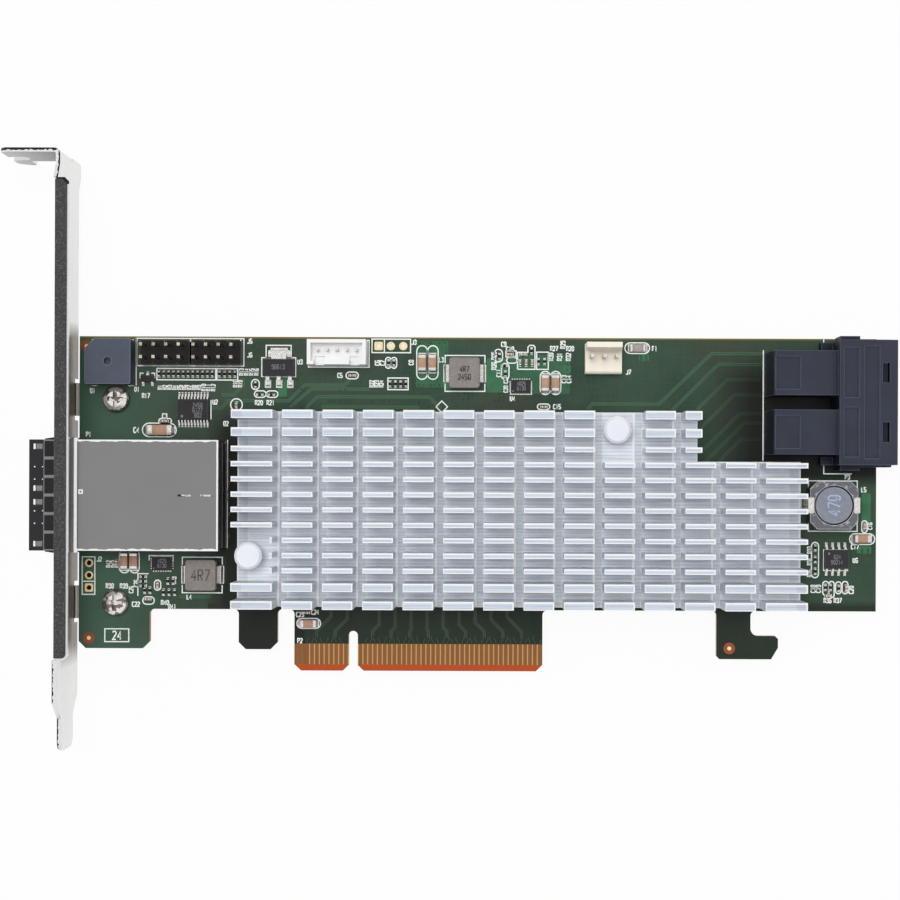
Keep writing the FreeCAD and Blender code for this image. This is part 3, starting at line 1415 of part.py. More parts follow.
def row_places(rows):
    """Places (x, y, upright) of every chip in a list of rows."""
    return [(x + i * dx, y + i * dy, up) for x, y, dx, dy, count, up in rows for i in range(count)]


def chip_body(place, sizes):
    """Ceramic body between the end caps of a chip part."""
    x, y, upright = place
    length, width, height, cap = sizes
    inside = length - 2 * cap
    if upright:
        return block(x, y, width, inside, FACE, FACE + height)
    return block(x, y, inside, width, FACE, FACE + height)


def chip_ends(place, sizes):
    """Two soldered end caps of a chip part."""
    x, y, upright = place
    length, width, height, cap = sizes
    ends = []
    for offset in spread(2, length - cap):
        if upright:
            ends.append(block(x, y + offset, width, cap, FACE, FACE + height))
        else:
            ends.append(block(x + offset, y, cap, width, FACE, FACE + height))
    return ends


def capacitor_bodies():
    """Brown bodies of the large capacitors."""
    bodies = [chip_body(place, LARGE_CAPACITOR) for place in row_places(LARGE_ROWS)]
    return group(bodies + [chip_body(TANK_PLACE, TANK_CAPACITOR)])


def capacitor_ends():
    """End caps of the large capacitors."""
    ends = []
    for place in row_places(LARGE_ROWS):
        ends += chip_ends(place, LARGE_CAPACITOR)
    return group(ends + chip_ends(TANK_PLACE, TANK_CAPACITOR))


def chip_bodies(rows, sizes):
    """Bodies of every chip in the rows."""
    return group([chip_body(place, sizes) for place in row_places(rows)])


def chip_caps(rows, sizes):
    """End caps of every chip in the rows."""
    ends = []
    for place in row_places(rows):
        ends += chip_ends(place, sizes)
    return group(ends)


NODES = {
    "circuit_board": circuit_board,
    "edge_contacts": edge_contacts,
    "mounting_bracket": mounting_bracket,
    "bracket_gasket": bracket_gasket,
    "bracket_screw_upper": lambda: bracket_screw(SCREW_UPPER_Y),
    "bracket_screw_lower": lambda: bracket_screw(SCREW_LOWER_Y),
    "external_port_cage": external_port_cage,
    "external_port_front_frame": external_port_front_frame,
    "external_port_spring_collar": external_port_spring_collar,
    "external_port_insert_upper": lambda: external_port_insert(1),
    "external_port_insert_lower": lambda: external_port_insert(-1),
    "external_port_contacts": external_port_contacts,
    "controller_substrate": controller_substrate,
    "controller_lid": controller_lid,
    "thermal_pad": thermal_pad,
    "heatsink": heatsink,
    "push_pin_right": lambda: push_pin("right"),
    "push_pin_left": lambda: push_pin("left"),
    "push_pin_spring_right": lambda: push_pin_spring("right"),
    "push_pin_spring_left": lambda: push_pin_spring("left"),
    "internal_port_housing": internal_port_housing,
    "internal_port_insert_upper": lambda: internal_port_insert(ARM_UPPER_Y),
    "internal_port_insert_lower": lambda: internal_port_insert(ARM_LOWER_Y),
    "internal_port_contacts": internal_port_contacts,
    "sounder_case": sounder_case,
    "sounder_terminals": sounder_terminals,
    "activity_header_body": lambda: header_body(ACTIVITY_HEADER_X),
    "activity_header_pins": lambda: header_pins_group(ACTIVITY_HEADER_X),
    "fault_header_body": lambda: header_body(FAULT_HEADER_X),
    "fault_header_pins": lambda: header_pins_group(FAULT_HEADER_X),
    "data_connector_body": data_connector_body,
    "data_connector_pins": data_connector_pins,
    "fan_connector_body": fan_connector_body,
    "fan_connector_pins": fan_connector_pins,
    "inductor_upper_core": lambda: inductor_core(COIL_UPPER_X, COIL_UPPER_Y),
    "inductor_upper_clips": lambda: inductor_clips(COIL_UPPER_X, COIL_UPPER_Y),
    "inductor_lower_core": lambda: inductor_core(COIL_LOWER_X, COIL_LOWER_Y),
    "inductor_lower_clips": lambda: inductor_clips(COIL_LOWER_X, COIL_LOWER_Y),
    "drum_inductor_shield": drum_inductor_shield,
    "drum_inductor_core": drum_inductor_core,
    "drum_inductor_terminals": drum_inductor_terminals,
    "regulator_body": lambda: moulded_body(
        REGULATOR_X, REGULATOR_Y, REGULATOR_LENGTH, REGULATOR_WIDTH, REGULATOR_HEIGHT
    ),
    "regulator_leads": regulator_leads,
    "buffer_chip_body": lambda: moulded_body(
        BUFFER_X, BUFFER_Y, BUFFER_LENGTH, BUFFER_WIDTH, BUFFER_HEIGHT
    ),
    "buffer_chip_leads": buffer_chip_leads,
    "memory_chip_body": lambda: moulded_body(
        MEMORY_X, MEMORY_Y, MEMORY_LENGTH, MEMORY_WIDTH, MEMORY_HEIGHT
    ),
    "memory_chip_leads": memory_chip_leads,
    "transistor_body": lambda: moulded_body(
        TRANSISTOR_X, TRANSISTOR_Y, TRANSISTOR_LENGTH, TRANSISTOR_WIDTH, TRANSISTOR_HEIGHT
    ),
    "transistor_leads": transistor_leads,
    "power_chip_upper": lambda: power_chip(POWER_UPPER_X, POWER_UPPER_Y),
    "power_chip_lower": lambda: power_chip(POWER_LOWER_X, POWER_LOWER_Y),
    "capacitor_bodies": capacitor_bodies,
    "capacitor_ends": capacitor_ends,
    "small_capacitor_bodies": lambda: chip_bodies(SMALL_ROWS, SMALL_CAPACITOR),
    "small_capacitor_ends": lambda: chip_caps(SMALL_ROWS, SMALL_CAPACITOR),
    "resistor_bodies": lambda: chip_bodies(RESISTOR_ROWS, RESISTOR),
    "resistor_ends": lambda: chip_caps(RESISTOR_ROWS, RESISTOR),
    "fuse_body": lambda: chip_body(FUSE_PLACE, FUSE),
    "fuse_ends": lambda: group(chip_ends(FUSE_PLACE, FUSE)),
}


def main():
    """Writes one file for each node."""
    os.makedirs("parts", exist_ok=True)
    for name, make in NODES.items():
        make().exportStep(f"parts/{name}.step")


main()
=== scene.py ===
"""Looks of a storage controller card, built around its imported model.

The card lies flat, component side up. Lengths in this file are millimetres in the model's own frame,
and Shape.mesh turns them into metres.
"""

import json
import logging
import math
from dataclasses import dataclass, field
from enum import Enum

import bmesh
import bpy
import numpy as np
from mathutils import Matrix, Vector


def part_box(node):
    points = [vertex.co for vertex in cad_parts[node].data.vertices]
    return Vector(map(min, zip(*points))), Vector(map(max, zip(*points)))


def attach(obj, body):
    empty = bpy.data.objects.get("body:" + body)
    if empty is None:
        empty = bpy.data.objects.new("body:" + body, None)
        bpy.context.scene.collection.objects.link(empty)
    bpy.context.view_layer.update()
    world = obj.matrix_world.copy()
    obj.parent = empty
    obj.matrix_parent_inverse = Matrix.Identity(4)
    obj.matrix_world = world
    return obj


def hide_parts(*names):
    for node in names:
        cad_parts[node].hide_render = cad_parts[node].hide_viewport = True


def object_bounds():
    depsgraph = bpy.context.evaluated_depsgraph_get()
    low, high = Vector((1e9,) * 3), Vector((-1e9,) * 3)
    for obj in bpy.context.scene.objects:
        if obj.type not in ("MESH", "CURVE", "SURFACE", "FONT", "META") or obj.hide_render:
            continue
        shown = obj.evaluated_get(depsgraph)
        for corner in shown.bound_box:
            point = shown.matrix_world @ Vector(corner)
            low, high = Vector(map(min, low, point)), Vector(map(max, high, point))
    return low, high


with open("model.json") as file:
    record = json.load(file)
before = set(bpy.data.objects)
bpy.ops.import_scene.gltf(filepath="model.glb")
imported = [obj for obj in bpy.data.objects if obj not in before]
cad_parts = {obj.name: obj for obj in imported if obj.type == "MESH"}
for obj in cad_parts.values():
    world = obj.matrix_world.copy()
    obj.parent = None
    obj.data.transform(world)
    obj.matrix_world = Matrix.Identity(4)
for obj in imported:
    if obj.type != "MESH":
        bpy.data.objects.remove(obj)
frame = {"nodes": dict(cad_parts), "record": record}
CAD_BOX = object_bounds()

LOG = logging.getLogger("card")
MM = 0.001
SAME_HEIGHT = 0.005  # a face counts as lying at a height within this
ON_AXIS = 0.001  # radius that stands for a point on a turned piece's axis
BITE = 0.01  # depth by which flat trim sinks into the face that carries it
Colour = tuple[float, float, float]
Spot = tuple[float, float, float]  # x, y and z
Point = tuple[float, float]  # x and y
Path = tuple[Point, ...]
Rect = tuple[float, float, float, float]  # left, right, low and high side
Row = tuple[float, ...]  # places along one axis
Socket = bpy.types.NodeSocket
Material = bpy.types.Material


def srgb(red: int, green: int, blue: int) -> Colour:
    """Linear colour of a screen colour given as three numbers from 0 to 255.

    A share up to 0.04045 is divided by 12.92; a larger one has 0.055 added, is divided by 1.055 and
    raised to 2.4.

    Args:
        red: red level.
        green: green level.
        blue: blue level.

    Returns:
        Levels from 0 to 1.
    """
    shares = np.array([red, green, blue]) / 255
    linear = np.where(shares <= 0.04045, shares / 12.92, ((shares + 0.055) / 1.055) ** 2.4)
    return tuple(float(v) for v in linear)


@dataclass(frozen=True)
class Box:
    """Box along the axes, from its low corner to its high corner."""

    low: np.ndarray
    high: np.ndarray

    @property
    def centre(self) -> np.ndarray:
        """Middle of the box."""
        return (self.low + self.high) / 2

    @property
    def size(self) -> np.ndarray:
        """Length of each side."""
        return self.high - self.low


def node_box(name: str) -> Box:
    """Box of a whole CAD node."""
    low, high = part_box(name)
    return Box(np.array(low) / MM, np.array(high) / MM)


def node_solids(name: str, level: float | None = None) -> list[Box]:
    """Box of each separate solid in a CAD node, or of each flat face that lies at one height.

    Vertices at the same place are taken as one, and every triangle gives its corners the lowest label
    among them, until no label changes.

    Args:
        name: the node.
        level: height of the faces that are wanted, in millimetres; None for whole solids.

    Returns:
        One box for each solid or face, ordered by x and then y.
    """
    mesh = frame["nodes"][name].data
    points = np.zeros(len(mesh.vertices) * 3)
    mesh.vertices.foreach_get("co", points)
    points = points.reshape(-1, 3) / MM
    mesh.calc_loop_triangles()
    corners = np.zeros(len(mesh.loop_triangles) * 3, np.int64)
    mesh.loop_triangles.foreach_get("vertices", corners)
    places, index = np.unique(np.round(points, 4), axis=0, return_inverse=True)
    triangles = index.reshape(-1)[corners].reshape(-1, 3)
    if level is not None:
        triangles = triangles[(np.abs(places[triangles][:, :, 2] - level) < SAME_HEIGHT).all(axis=1)]
    labels = np.arange(len(places))
    while True:
        lowest = labels[triangles].min(axis=1)
        new = labels.copy()
        for side in range(3):
            np.minimum.at(new, triangles[:, side], lowest)
        if np.array_equal(new, labels):
            break
        labels = new
    used = np.unique(triangles)
    places, labels = places[used], labels[used]
    groups = [places[labels == k] for k in np.unique(labels)]
    boxes = [Box(group.min(axis=0), group.max(axis=0)) for group in groups]
    return sorted(boxes, key=lambda b: (round(b.centre[0], 2), round(b.centre[1], 2)))


@dataclass
class Shape:
    """Vertices and faces gathered from patches."""

    points: list[np.ndarray] = field(default_factory=list)
    faces: list[list[int]] = field(default_factory=list)
    count: int = 0

    def add(self, points: np.ndarray, faces: list[list[int]]) -> None:
        """Adds one patch: its own points, and faces that count from its own first point.

        Args:
            points: array of points, three numbers each.
            faces: corner numbers of each face.
        """
        self.faces += [[i + self.count for i in face] for face in faces]
        self.points.append(points.reshape(-1, 3))
        self.count += len(self.points[-1])

    def rings(self, rings: np.ndarray, closed: bool = False) -> None:
        """Skins a row of rings, each with as many points, and caps the two ends of an open row.

        Args:
            rings: array of (rings, points in a ring, 3).
            closed: the last ring joins the first.
        """
        rows, sides = rings.shape[:2]
        last = rows if closed else rows - 1
        a = np.arange(last)[:, None] * sides
        b = (np.arange(1, last + 1)[:, None] % rows) * sides
        i = np.arange(sides)[None, :]
        j = (i + 1) % sides
        quads = np.stack([a + i, a + j, b + j, b + i], axis=-1).reshape(-1, 4).tolist()
        if not closed:
            quads.append(list(range(sides))[::-1])
            quads.append(list(range((rows - 1) * sides, rows * sides)))
        self.add(rings, quads)

    def prism(self, loop: np.ndarray, low: float, high: float) -> None:
        """Upright block over a closed loop of (x, y) points."""
        flat = np.ones(len(loop))
        self.rings(np.stack([np.column_stack([loop, flat * z]) for z in (low, high)]))

    def slab(self, x0: float, x1: float, y0: float, y1: float, low: float, high: float) -> None:
        """Flat block between two corners."""
        self.prism(np.array([[x0, y0], [x1, y0], [x1, y1], [x0, y1]]), low, high)

    def strip(self, path: np.ndarray, width: float, low: float, high: float, closed: bool = False) -> None:
        """Flat band along a path, mitred at its corners.

        Each path point moves sideways along the mean of the normals of its two runs, by half the width
        divided by the cosine of half the turn.

        Args:
            path: (x, y) points.
            width: the band's width.
            low: height of its underside.
            high: height of its top.
            closed: the path ends where it starts.
        """
        runs = np.roll(path, -1, axis=0) - path
        if not closed:
            runs[-1] = runs[-2]
        runs /= np.linalg.norm(runs, axis=1)[:, None]
        normals = np.column_stack([-runs[:, 1], runs[:, 0]])
        before = np.roll(normals, 1, axis=0)
        if not closed:
            before[0] = normals[0]
        mean = normals + before
        mean /= np.maximum((mean * normals).sum(axis=1), 0.4)[:, None]
        left = path + mean * width / 2
        right = path - mean * width / 2
        flat = np.ones(len(path))
        sides = [(left, low), (right, low), (right, high), (left, high)]
        self.rings(np.stack([np.column_stack([p, flat * z]) for p, z in sides], axis=1), closed)

    def turned(self, profile: np.ndarray, x: float, y: float, sides: int) -> None:
        """Surface of revolution about an upright axis through (x, y).

        A profile point (r, z) becomes the circle (x + r cos t, y + r sin t, z), with t over a full turn.

        Args:
            profile: points (r, z), from the axis back to it.
            x: the axis along x.
            y: the axis along y.
            sides: points in a circle.
        """
        turn = np.linspace(0, 2 * math.pi, sides, endpoint=False)
        r, z = profile[:, 0][:, None], profile[:, 1][:, None]
        self.rings(np.stack([x + r * np.cos(turn), y + r * np.sin(turn), z + 0 * turn], axis=-1))

    def disc(
        self, x: float, y: float, radius: float, low: float, high: float, sides: int, top: float | None = None
    ) -> None:
        """Upright round block about (x, y); top is its upper radius where it tapers."""
        profile = [(ON_AXIS, low), (radius, low), (radius if top is None else top, high), (ON_AXIS, high)]
        self.turned(np.array(profile), x, y, sides)

    def washer(
        self, x: float, y: float, inner: float, outer: float, low: float, high: float, sides: int,
        square: bool = False,
    ) -> None:
        """Flat ring about (x, y).

        The outer edge of a square one is at the outer radius over the larger of |cos t| and |sin t|.

        Args:
            x: middle along x.
            y: middle along y.
            inner: radius of the hole.
            outer: radius of the rim.
            low: height of its underside.
            high: height of its top.
            sides: points in a circle.
            square: the rim is a square.
        """
        turn = np.linspace(0, 2 * math.pi, sides, endpoint=False)
        reach = np.maximum(np.abs(np.cos(turn)), np.abs(np.sin(turn))) if square else np.ones(sides)
        circles = []
        for radius, z in ((outer / reach, low), (outer / reach, high), (inner, high), (inner, low)):
            around = [x + radius * np.cos(turn), y + radius * np.sin(turn), np.full(sides, z)]
            circles.append(np.column_stack(around))
        self.rings(np.stack(circles, axis=1), closed=True)

    def rounded_box(self, box: Box, radius: float, steps: int = 2) -> None:
        """Box with rounded edges and corners.

        A sphere's grid of longitude and latitude is pulled apart at its four quadrants and its equator:
        each point is its corner's centre plus the radius times the sphere's direction.

        Args:
            box: the outer box.
            radius: the rounding.
            steps: divisions of each quarter turn.
        """
        radius = min(radius, float(box.size.min()) * 0.49)
        quarter = np.linspace(0, math.pi / 2, steps + 1)
        around = np.concatenate([quarter + q * math.pi / 2 for q in range(4)])
        corner_x = np.repeat([1, -1, -1, 1], steps + 1)
        corner_y = np.repeat([1, 1, -1, -1], steps + 1)
        up = np.concatenate([quarter - math.pi / 2, quarter])
        corner_z = np.repeat([-1, 1], steps + 1)
        reach = box.size / 2 - radius
        x = box.centre[0] + corner_x * reach[0] + radius * np.cos(up)[:, None] * np.cos(around)
        y = box.centre[1] + corner_y * reach[1] + radius * np.cos(up)[:, None] * np.sin(around)
        z = box.centre[2] + (corner_z * reach[2] + radius * np.sin(up))[:, None] + 0 * around
        self.rings(np.stack([x, y, z], axis=-1))

    def mesh(self, name: str, sharp: float) -> bpy.types.Mesh:
        """Mesh in metres, closed where points meet, with outward faces.

        Args:
            name: the mesh's name.
            sharp: edges that turn by more than this many degrees stay sharp; 0 shades every face flat.

        Returns:
            The mesh.
        """
        mesh = bpy.data.meshes.new(name)
        mesh.from_pydata((np.concatenate(self.points) * MM).tolist(), [], self.faces)
        work = bmesh.new()
        work.from_mesh(mesh)
        bmesh.ops.remove_doubles(work, verts=work.verts, dist=1e-7)
        bmesh.ops.dissolve_degenerate(work, edges=work.edges, dist=1e-8)
        bmesh.ops.recalc_face_normals(work, faces=work.faces)
        work.to_mesh(mesh)
        work.free()
        if sharp:
            mesh.polygons.foreach_set("use_smooth", np.ones(len(mesh.polygons), bool))
            mesh.set_sharp_from_angle(angle=math.radians(sharp))
        return mesh


def make_piece(
    name: str, shape: Shape, finish: Material, sharp: float = 35
) -> bpy.types.Object:
    """Object that rides on the card.

    Args:
        name: the piece's name.
        shape: its surfaces.
        finish: its material.
        sharp: edges that turn by more degrees than this stay sharp; 0 shades every face flat.

    Returns:
        The object.
    """
    mesh = shape.mesh(name, sharp)
    mesh.materials.append(finish)
    piece = bpy.data.objects.new(name, mesh)
    bpy.context.scene.collection.objects.link(piece)
    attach(piece, "root")
    LOG.info("%s: %d faces", name, len(mesh.polygons))
    return piece


def loop_box(x0: float, x1: float, y0: float, y1: float, radius: float, steps: int = 4) -> np.ndarray:
    """Closed loop of (x, y) points round a rectangle with rounded corners.

    Corner k is a quarter circle that starts at k quarter turns, about a middle that is one radius in
    from both of its sides.

    Args:
        x0: left side.
        x1: right side.
        y0: lower side.
        y1: upper side.
        radius: the rounding.
        steps: divisions of each corner.

    Returns:
        The loop, counterclockwise.
    """
    radius = min(radius, (x1 - x0) / 2, (y1 - y0) / 2)
    quarter = np.linspace(0, math.pi / 2, steps + 1)
    left, right, low, high = x0 + radius, x1 - radius, y0 + radius, y1 - radius
    arcs = []
    for k, (x, y) in enumerate(((right, high), (left, high), (left, low), (right, low))):
        turn = quarter + k * math.pi / 2
        arcs.append(np.column_stack([x + radius * np.cos(turn), y + radius * np.sin(turn)]))
    return np.concatenate(arcs)


class Grain(Enum):
    """What the fine surface of a finish looks like."""

    SMOOTH = "smooth"
    MOULDED = "moulded"
    PRESSED = "pressed"
    ROLLED = "rolled"
    DRAWN = "drawn"
    FOAM = "foam"


# How far a grain's noise is pulled out along each axis
STRETCH = {
    Grain.DRAWN: (1.0, 0.04, 1.0),
    Grain.ROLLED: (1.0, 0.35, 1.0),
}


class Graph:
    """A material's node tree, with short ways to add nodes and join them."""

    def __init__(self, name: str) -> None:
        """Empty material with an output and one surface shader.

        Args:
            name: the material's name.
        """
        self.material = bpy.data.materials.new(name)
        self.material.use_nodes = True
        self.tree = self.material.node_tree
        self.tree.nodes.clear()
        self.surface = self.node("ShaderNodeBsdfPrincipled")
        output = self.node("ShaderNodeOutputMaterial")
        self.join(self.surface.outputs["BSDF"], output.inputs["Surface"])
        self.place = self.node("ShaderNodeTexCoord").outputs["Object"]

    def node(self, kind: str, **values: object) -> bpy.types.Node:
        """New node with some of its settings or inputs set by name.

        Args:
            kind: type of the node.
            values: settings or inputs, in lower case with underscores.

        Returns:
            The node.
        """
        made = self.tree.nodes.new(kind)
        for key, value in values.items():
            name = key.replace("_", " ").title()
            if name in made.inputs:
                made.inputs[name].default_value = value
            else:
                setattr(made, key, value)
        return made

    def join(self, source: Socket, target: Socket) -> None:
        """Link from one socket to another."""
        self.tree.links.new(source, target)

    def feed(self, value: object, target: Socket) -> None:
        """Links a socket to an input, or sets the input to a number or a colour.

        Args:
            value: the socket, number or colour.
            target: the input.
        """
        if isinstance(value, Socket):
            self.join(value, target)
        else:
            target.default_value = (*value, 1) if isinstance(value, tuple) else value

    def paint(
        self, colour: object, roughness: object, metallic: object = 0.0, specular: float = 0.5
    ) -> None:
        """Feeds the surface shader.

        Args:
            colour: base colour.
            roughness: from 0 for a mirror to 1.
            metallic: share of metal.
            specular: specular level.
        """
        values = {
            "Base Color": colour, "Roughness": roughness, "Metallic": metallic, "Specular IOR Level": specular
        }
        for name, value in values.items():
            self.feed(value, self.surface.inputs[name])

    def math(self, operation: str, first: object, second: object = 0.0) -> Socket:
        """Result of a Math node on two sockets or numbers.

        Args:
            operation: what the node does.
            first: its first input.
            second: its second input.

        Returns:
            Its output.
        """
        made = self.node("ShaderNodeMath", operation=operation)
        self.feed(first, made.inputs[0])
        self.feed(second, made.inputs[1])
        return made.outputs[0]

    def product(self, *factors: object) -> Socket:
        """Product of two or more sockets or numbers.

        Args:
            factors: what is multiplied.

        Returns:
            The product.
        """
        result = factors[0]
        for factor in factors[1:]:
            result = self.math("MULTIPLY", result, factor)
        return result

    def most(self, *values: object) -> Socket:
        """Largest of two or more sockets or numbers.

        Args:
            values: what is compared.

        Returns:
            The largest.
        """
        result = values[0]
        for value in values[1:]:
            result = self.math("MAXIMUM", result, value)
        return result

    def past(self, source: Socket, place: float) -> Socket:
        """1 where a coordinate is past a place in millimetres, and 0 before it."""
        return self.math("GREATER_THAN", source, place * MM)

    def before(self, source: Socket, place: float) -> Socket:
        """1 where a coordinate is before a place in millimetres, and 0 past it."""
        return self.math("LESS_THAN", source, place * MM)

    def ramp(self, source: Socket, start: float, end: float, low: float = 0, high: float = 1) -> Socket:
        """Value that goes from low to high as a coordinate goes between two places in millimetres."""
        return self.spread(source, low, high, start * MM, end * MM)

    def from_lines(self, source: Socket, pitch: float) -> Socket:
        """Distance of a coordinate from the nearest of evenly pitched lines, one of them at zero."""
        return self.math("PINGPONG", self.math("ABSOLUTE", source), pitch / 2 * MM)

    def noise(
        self, size: float, stretch: tuple[float, float, float] = (1, 1, 1), detail: float = 3
    ) -> Socket:
        """Noise between 0 and 1 whose features are about size millimetres across.

        Args:
            size: size of a feature.
            stretch: scale along each axis; a small one draws it out.
            detail: layers of finer noise.

        Returns:
            The noise.
        """
        mapping = self.node("ShaderNodeMapping")
        mapping.inputs["Scale"].default_value = stretch
        self.join(self.place, mapping.inputs["Vector"])
        made = self.node("ShaderNodeTexNoise", scale=1 / (size * MM), detail=detail)
        self.join(mapping.outputs["Vector"], made.inputs["Vector"])
        return made.outputs["Fac"]

    def blend(self, share: object, first: object, second: object) -> Socket:
        """Colour mixed from two colours or sockets by a share.

        Args:
            share: share of the second colour.
            first: first colour.
            second: second colour.

        Returns:
            The colour.
        """
        made = self.node("ShaderNodeMix", data_type="RGBA")
        self.feed(share, made.inputs["Factor"])
        self.feed(first, made.inputs[6])
        self.feed(second, made.inputs[7])
        return made.outputs[2]

    def spread(
        self, source: Socket, low: float, high: float, start: float = 0.3, end: float = 0.7
    ) -> Socket:
        """Value that goes from low to high as the source goes from start to end.

        Args:
            source: what is followed.
            low: value up to the start.
            high: value from the end on.
            start: the source's value at low.
            end: the source's value at high.

        Returns:
            The value.
        """
        made = self.node("ShaderNodeMapRange")
        values = (start, end, low, high)
        self.join(source, made.inputs["Value"])
        for name, value in zip(("From Min", "From Max", "To Min", "To Max"), values):
            made.inputs[name].default_value = value
        return made.outputs["Result"]

    def relief(self, height: object, depth: float, edge: float) -> None:
        """Bump of some depth over edges rounded by some radius, in millimetres; height may be None.

        Args:
            height: relief from 0 to 1, or None.
            depth: depth of the relief.
            edge: radius of the edges.
        """
        rounded = None
        if edge:
            rounded = self.node("ShaderNodeBevel", samples=4, radius=edge * MM).outputs["Normal"]
            self.join(rounded, self.surface.inputs["Normal"])
        if height is None:
            return
        bump = self.node("ShaderNodeBump", distance=depth * MM, strength=1.0)
        self.join(height, bump.inputs["Height"])
        if rounded:
            self.join(rounded, bump.inputs["Normal"])
        self.join(bump.outputs["Normal"], self.surface.inputs["Normal"])


def edge_share(graph: Graph, radius: float) -> Socket:
    """Share that is 1 along edges and falls to 0 within a radius, from how far a rounded normal turns.

    Args:
        graph: the material.
        radius: the radius in millimetres.

    Returns:
        The share.
    """
    rounded = graph.node("ShaderNodeBevel", samples=8, radius=radius * MM)
    turn = graph.node("ShaderNodeVectorMath", operation="DOT_PRODUCT")
    graph.join(rounded.outputs["Normal"], turn.inputs[0])
    graph.join(graph.node("ShaderNodeNewGeometry").outputs["True Normal"], turn.inputs[1])
    return graph.spread(turn.outputs["Value"], 1, 0, 0.88, 0.985)


def facing(graph: Graph) -> dict[str, Socket]:
    """Parts X, Y and Z of the true normal.

    Args:
        graph: the material.

    Returns:
        Its parts by name.
    """
    parts = graph.node("ShaderNodeSeparateXYZ")
    graph.join(graph.node("ShaderNodeNewGeometry").outputs["True Normal"], parts.inputs["Vector"])
    return parts.outputs


def place_parts(graph: Graph) -> tuple[Socket, ...]:
    """The object's own x, y and z.

    Args:
        graph: the material.

    Returns:
        Three sockets, in metres.
    """
    parts = graph.node("ShaderNodeSeparateXYZ")
    graph.join(graph.place, parts.inputs["Vector"])
    return tuple(parts.outputs)


def open_share(graph: Graph, distance: float, dark: float = 0.25, light: float = 0.85) -> Socket:
    """Share that is 1 where nothing stands near and 0 deep between neighbours, for painting shade."""
    shelter = graph.node("ShaderNodeAmbientOcclusion", samples=8, distance=distance * MM)
    return graph.spread(shelter.outputs["AO"], 0, 1, dark, light)


def shade(colour: Colour, share: float) -> Colour:
    """Colour made lighter or darker by a share."""
    return tuple(min(1.0, v * (1 + share)) for v in colour)


BLACK = (0.0, 0.0, 0.0)


@dataclass(frozen=True)
class Finish:
    """Finish of one kind of surface.

    Lengths are millimetres. mottle is the share by which the colour varies over patches of mottle_size;
    depth and grain_size are those of the fine relief. Where asked, sideways faces get painted shade, places
    deep between neighbours get painted shade, and edges get a painted highlight (a painted shade on the coil
    core).
    """

    name: str
    colour: Colour
    roughness: float
    metallic: float = 0.0
    grain: Grain = Grain.SMOOTH
    grain_size: float = 0.3
    depth: float = 0.0
    mottle: float = 0.06
    mottle_size: float = 6.0
    edge: float = 0.0
    specular: float = 0.5
    painted_edge_colour: Colour | None = None
    painted_edge_band: float = 0.3
    painted_side_shade: float = 0.0
    shelter: float = 0.0

    def make(self) -> Material:
        """Material with mottled colour, painted shade and highlights where asked, uneven gloss and fine
        relief.

        Returns:
            The material.
        """
        graph = Graph(self.name)
        stretch = STRETCH.get(self.grain, (1, 1, 1))
        patches = graph.noise(self.mottle_size, stretch)
        fine = graph.noise(self.grain_size, stretch, 4)
        dark, light = shade(self.colour, -self.mottle), shade(self.colour, self.mottle)
        colour = graph.blend(graph.spread(patches, 0, 1), dark, light)
        if self.grain in (Grain.FOAM, Grain.PRESSED):
            specks = graph.spread(fine, 0, 1, 0.5, 0.75)
            lift = 1.6 if self.grain is Grain.FOAM else 0.35
            colour = graph.blend(specks, colour, shade(self.colour, lift))
        elif self.grain in STRETCH:
            colour = graph.blend(graph.spread(fine, 0, 0.5), colour, shade(self.colour, -2.5 * self.mottle))
        # Painted shade: faces that turn sideways go towards black
        if self.painted_side_shade:
            sides = graph.spread(facing(graph)["Z"], self.painted_side_shade, 0, 0.2, 0.8)
            colour = graph.blend(sides, colour, BLACK)
        # Painted shade: darker deep between neighbours, where the light is kept out
        if self.shelter:
            colour = graph.blend(open_share(graph, self.shelter), shade(self.colour, -0.85), colour)
        # Painted highlight along the edges; on the coil core a painted shade along them instead
        if self.painted_edge_colour:
            colour = graph.blend(edge_share(graph, self.painted_edge_band), colour, self.painted_edge_colour)
        gloss = graph.spread(fine, self.roughness * 0.85, min(1.0, self.roughness * 1.15))
        graph.paint(colour, gloss, self.metallic, self.specular)
        graph.relief(fine if self.depth else None, self.depth, self.edge)
        return graph.material


# White of painted highlights
PAINTED_HIGHLIGHT = srgb(250, 250, 248)

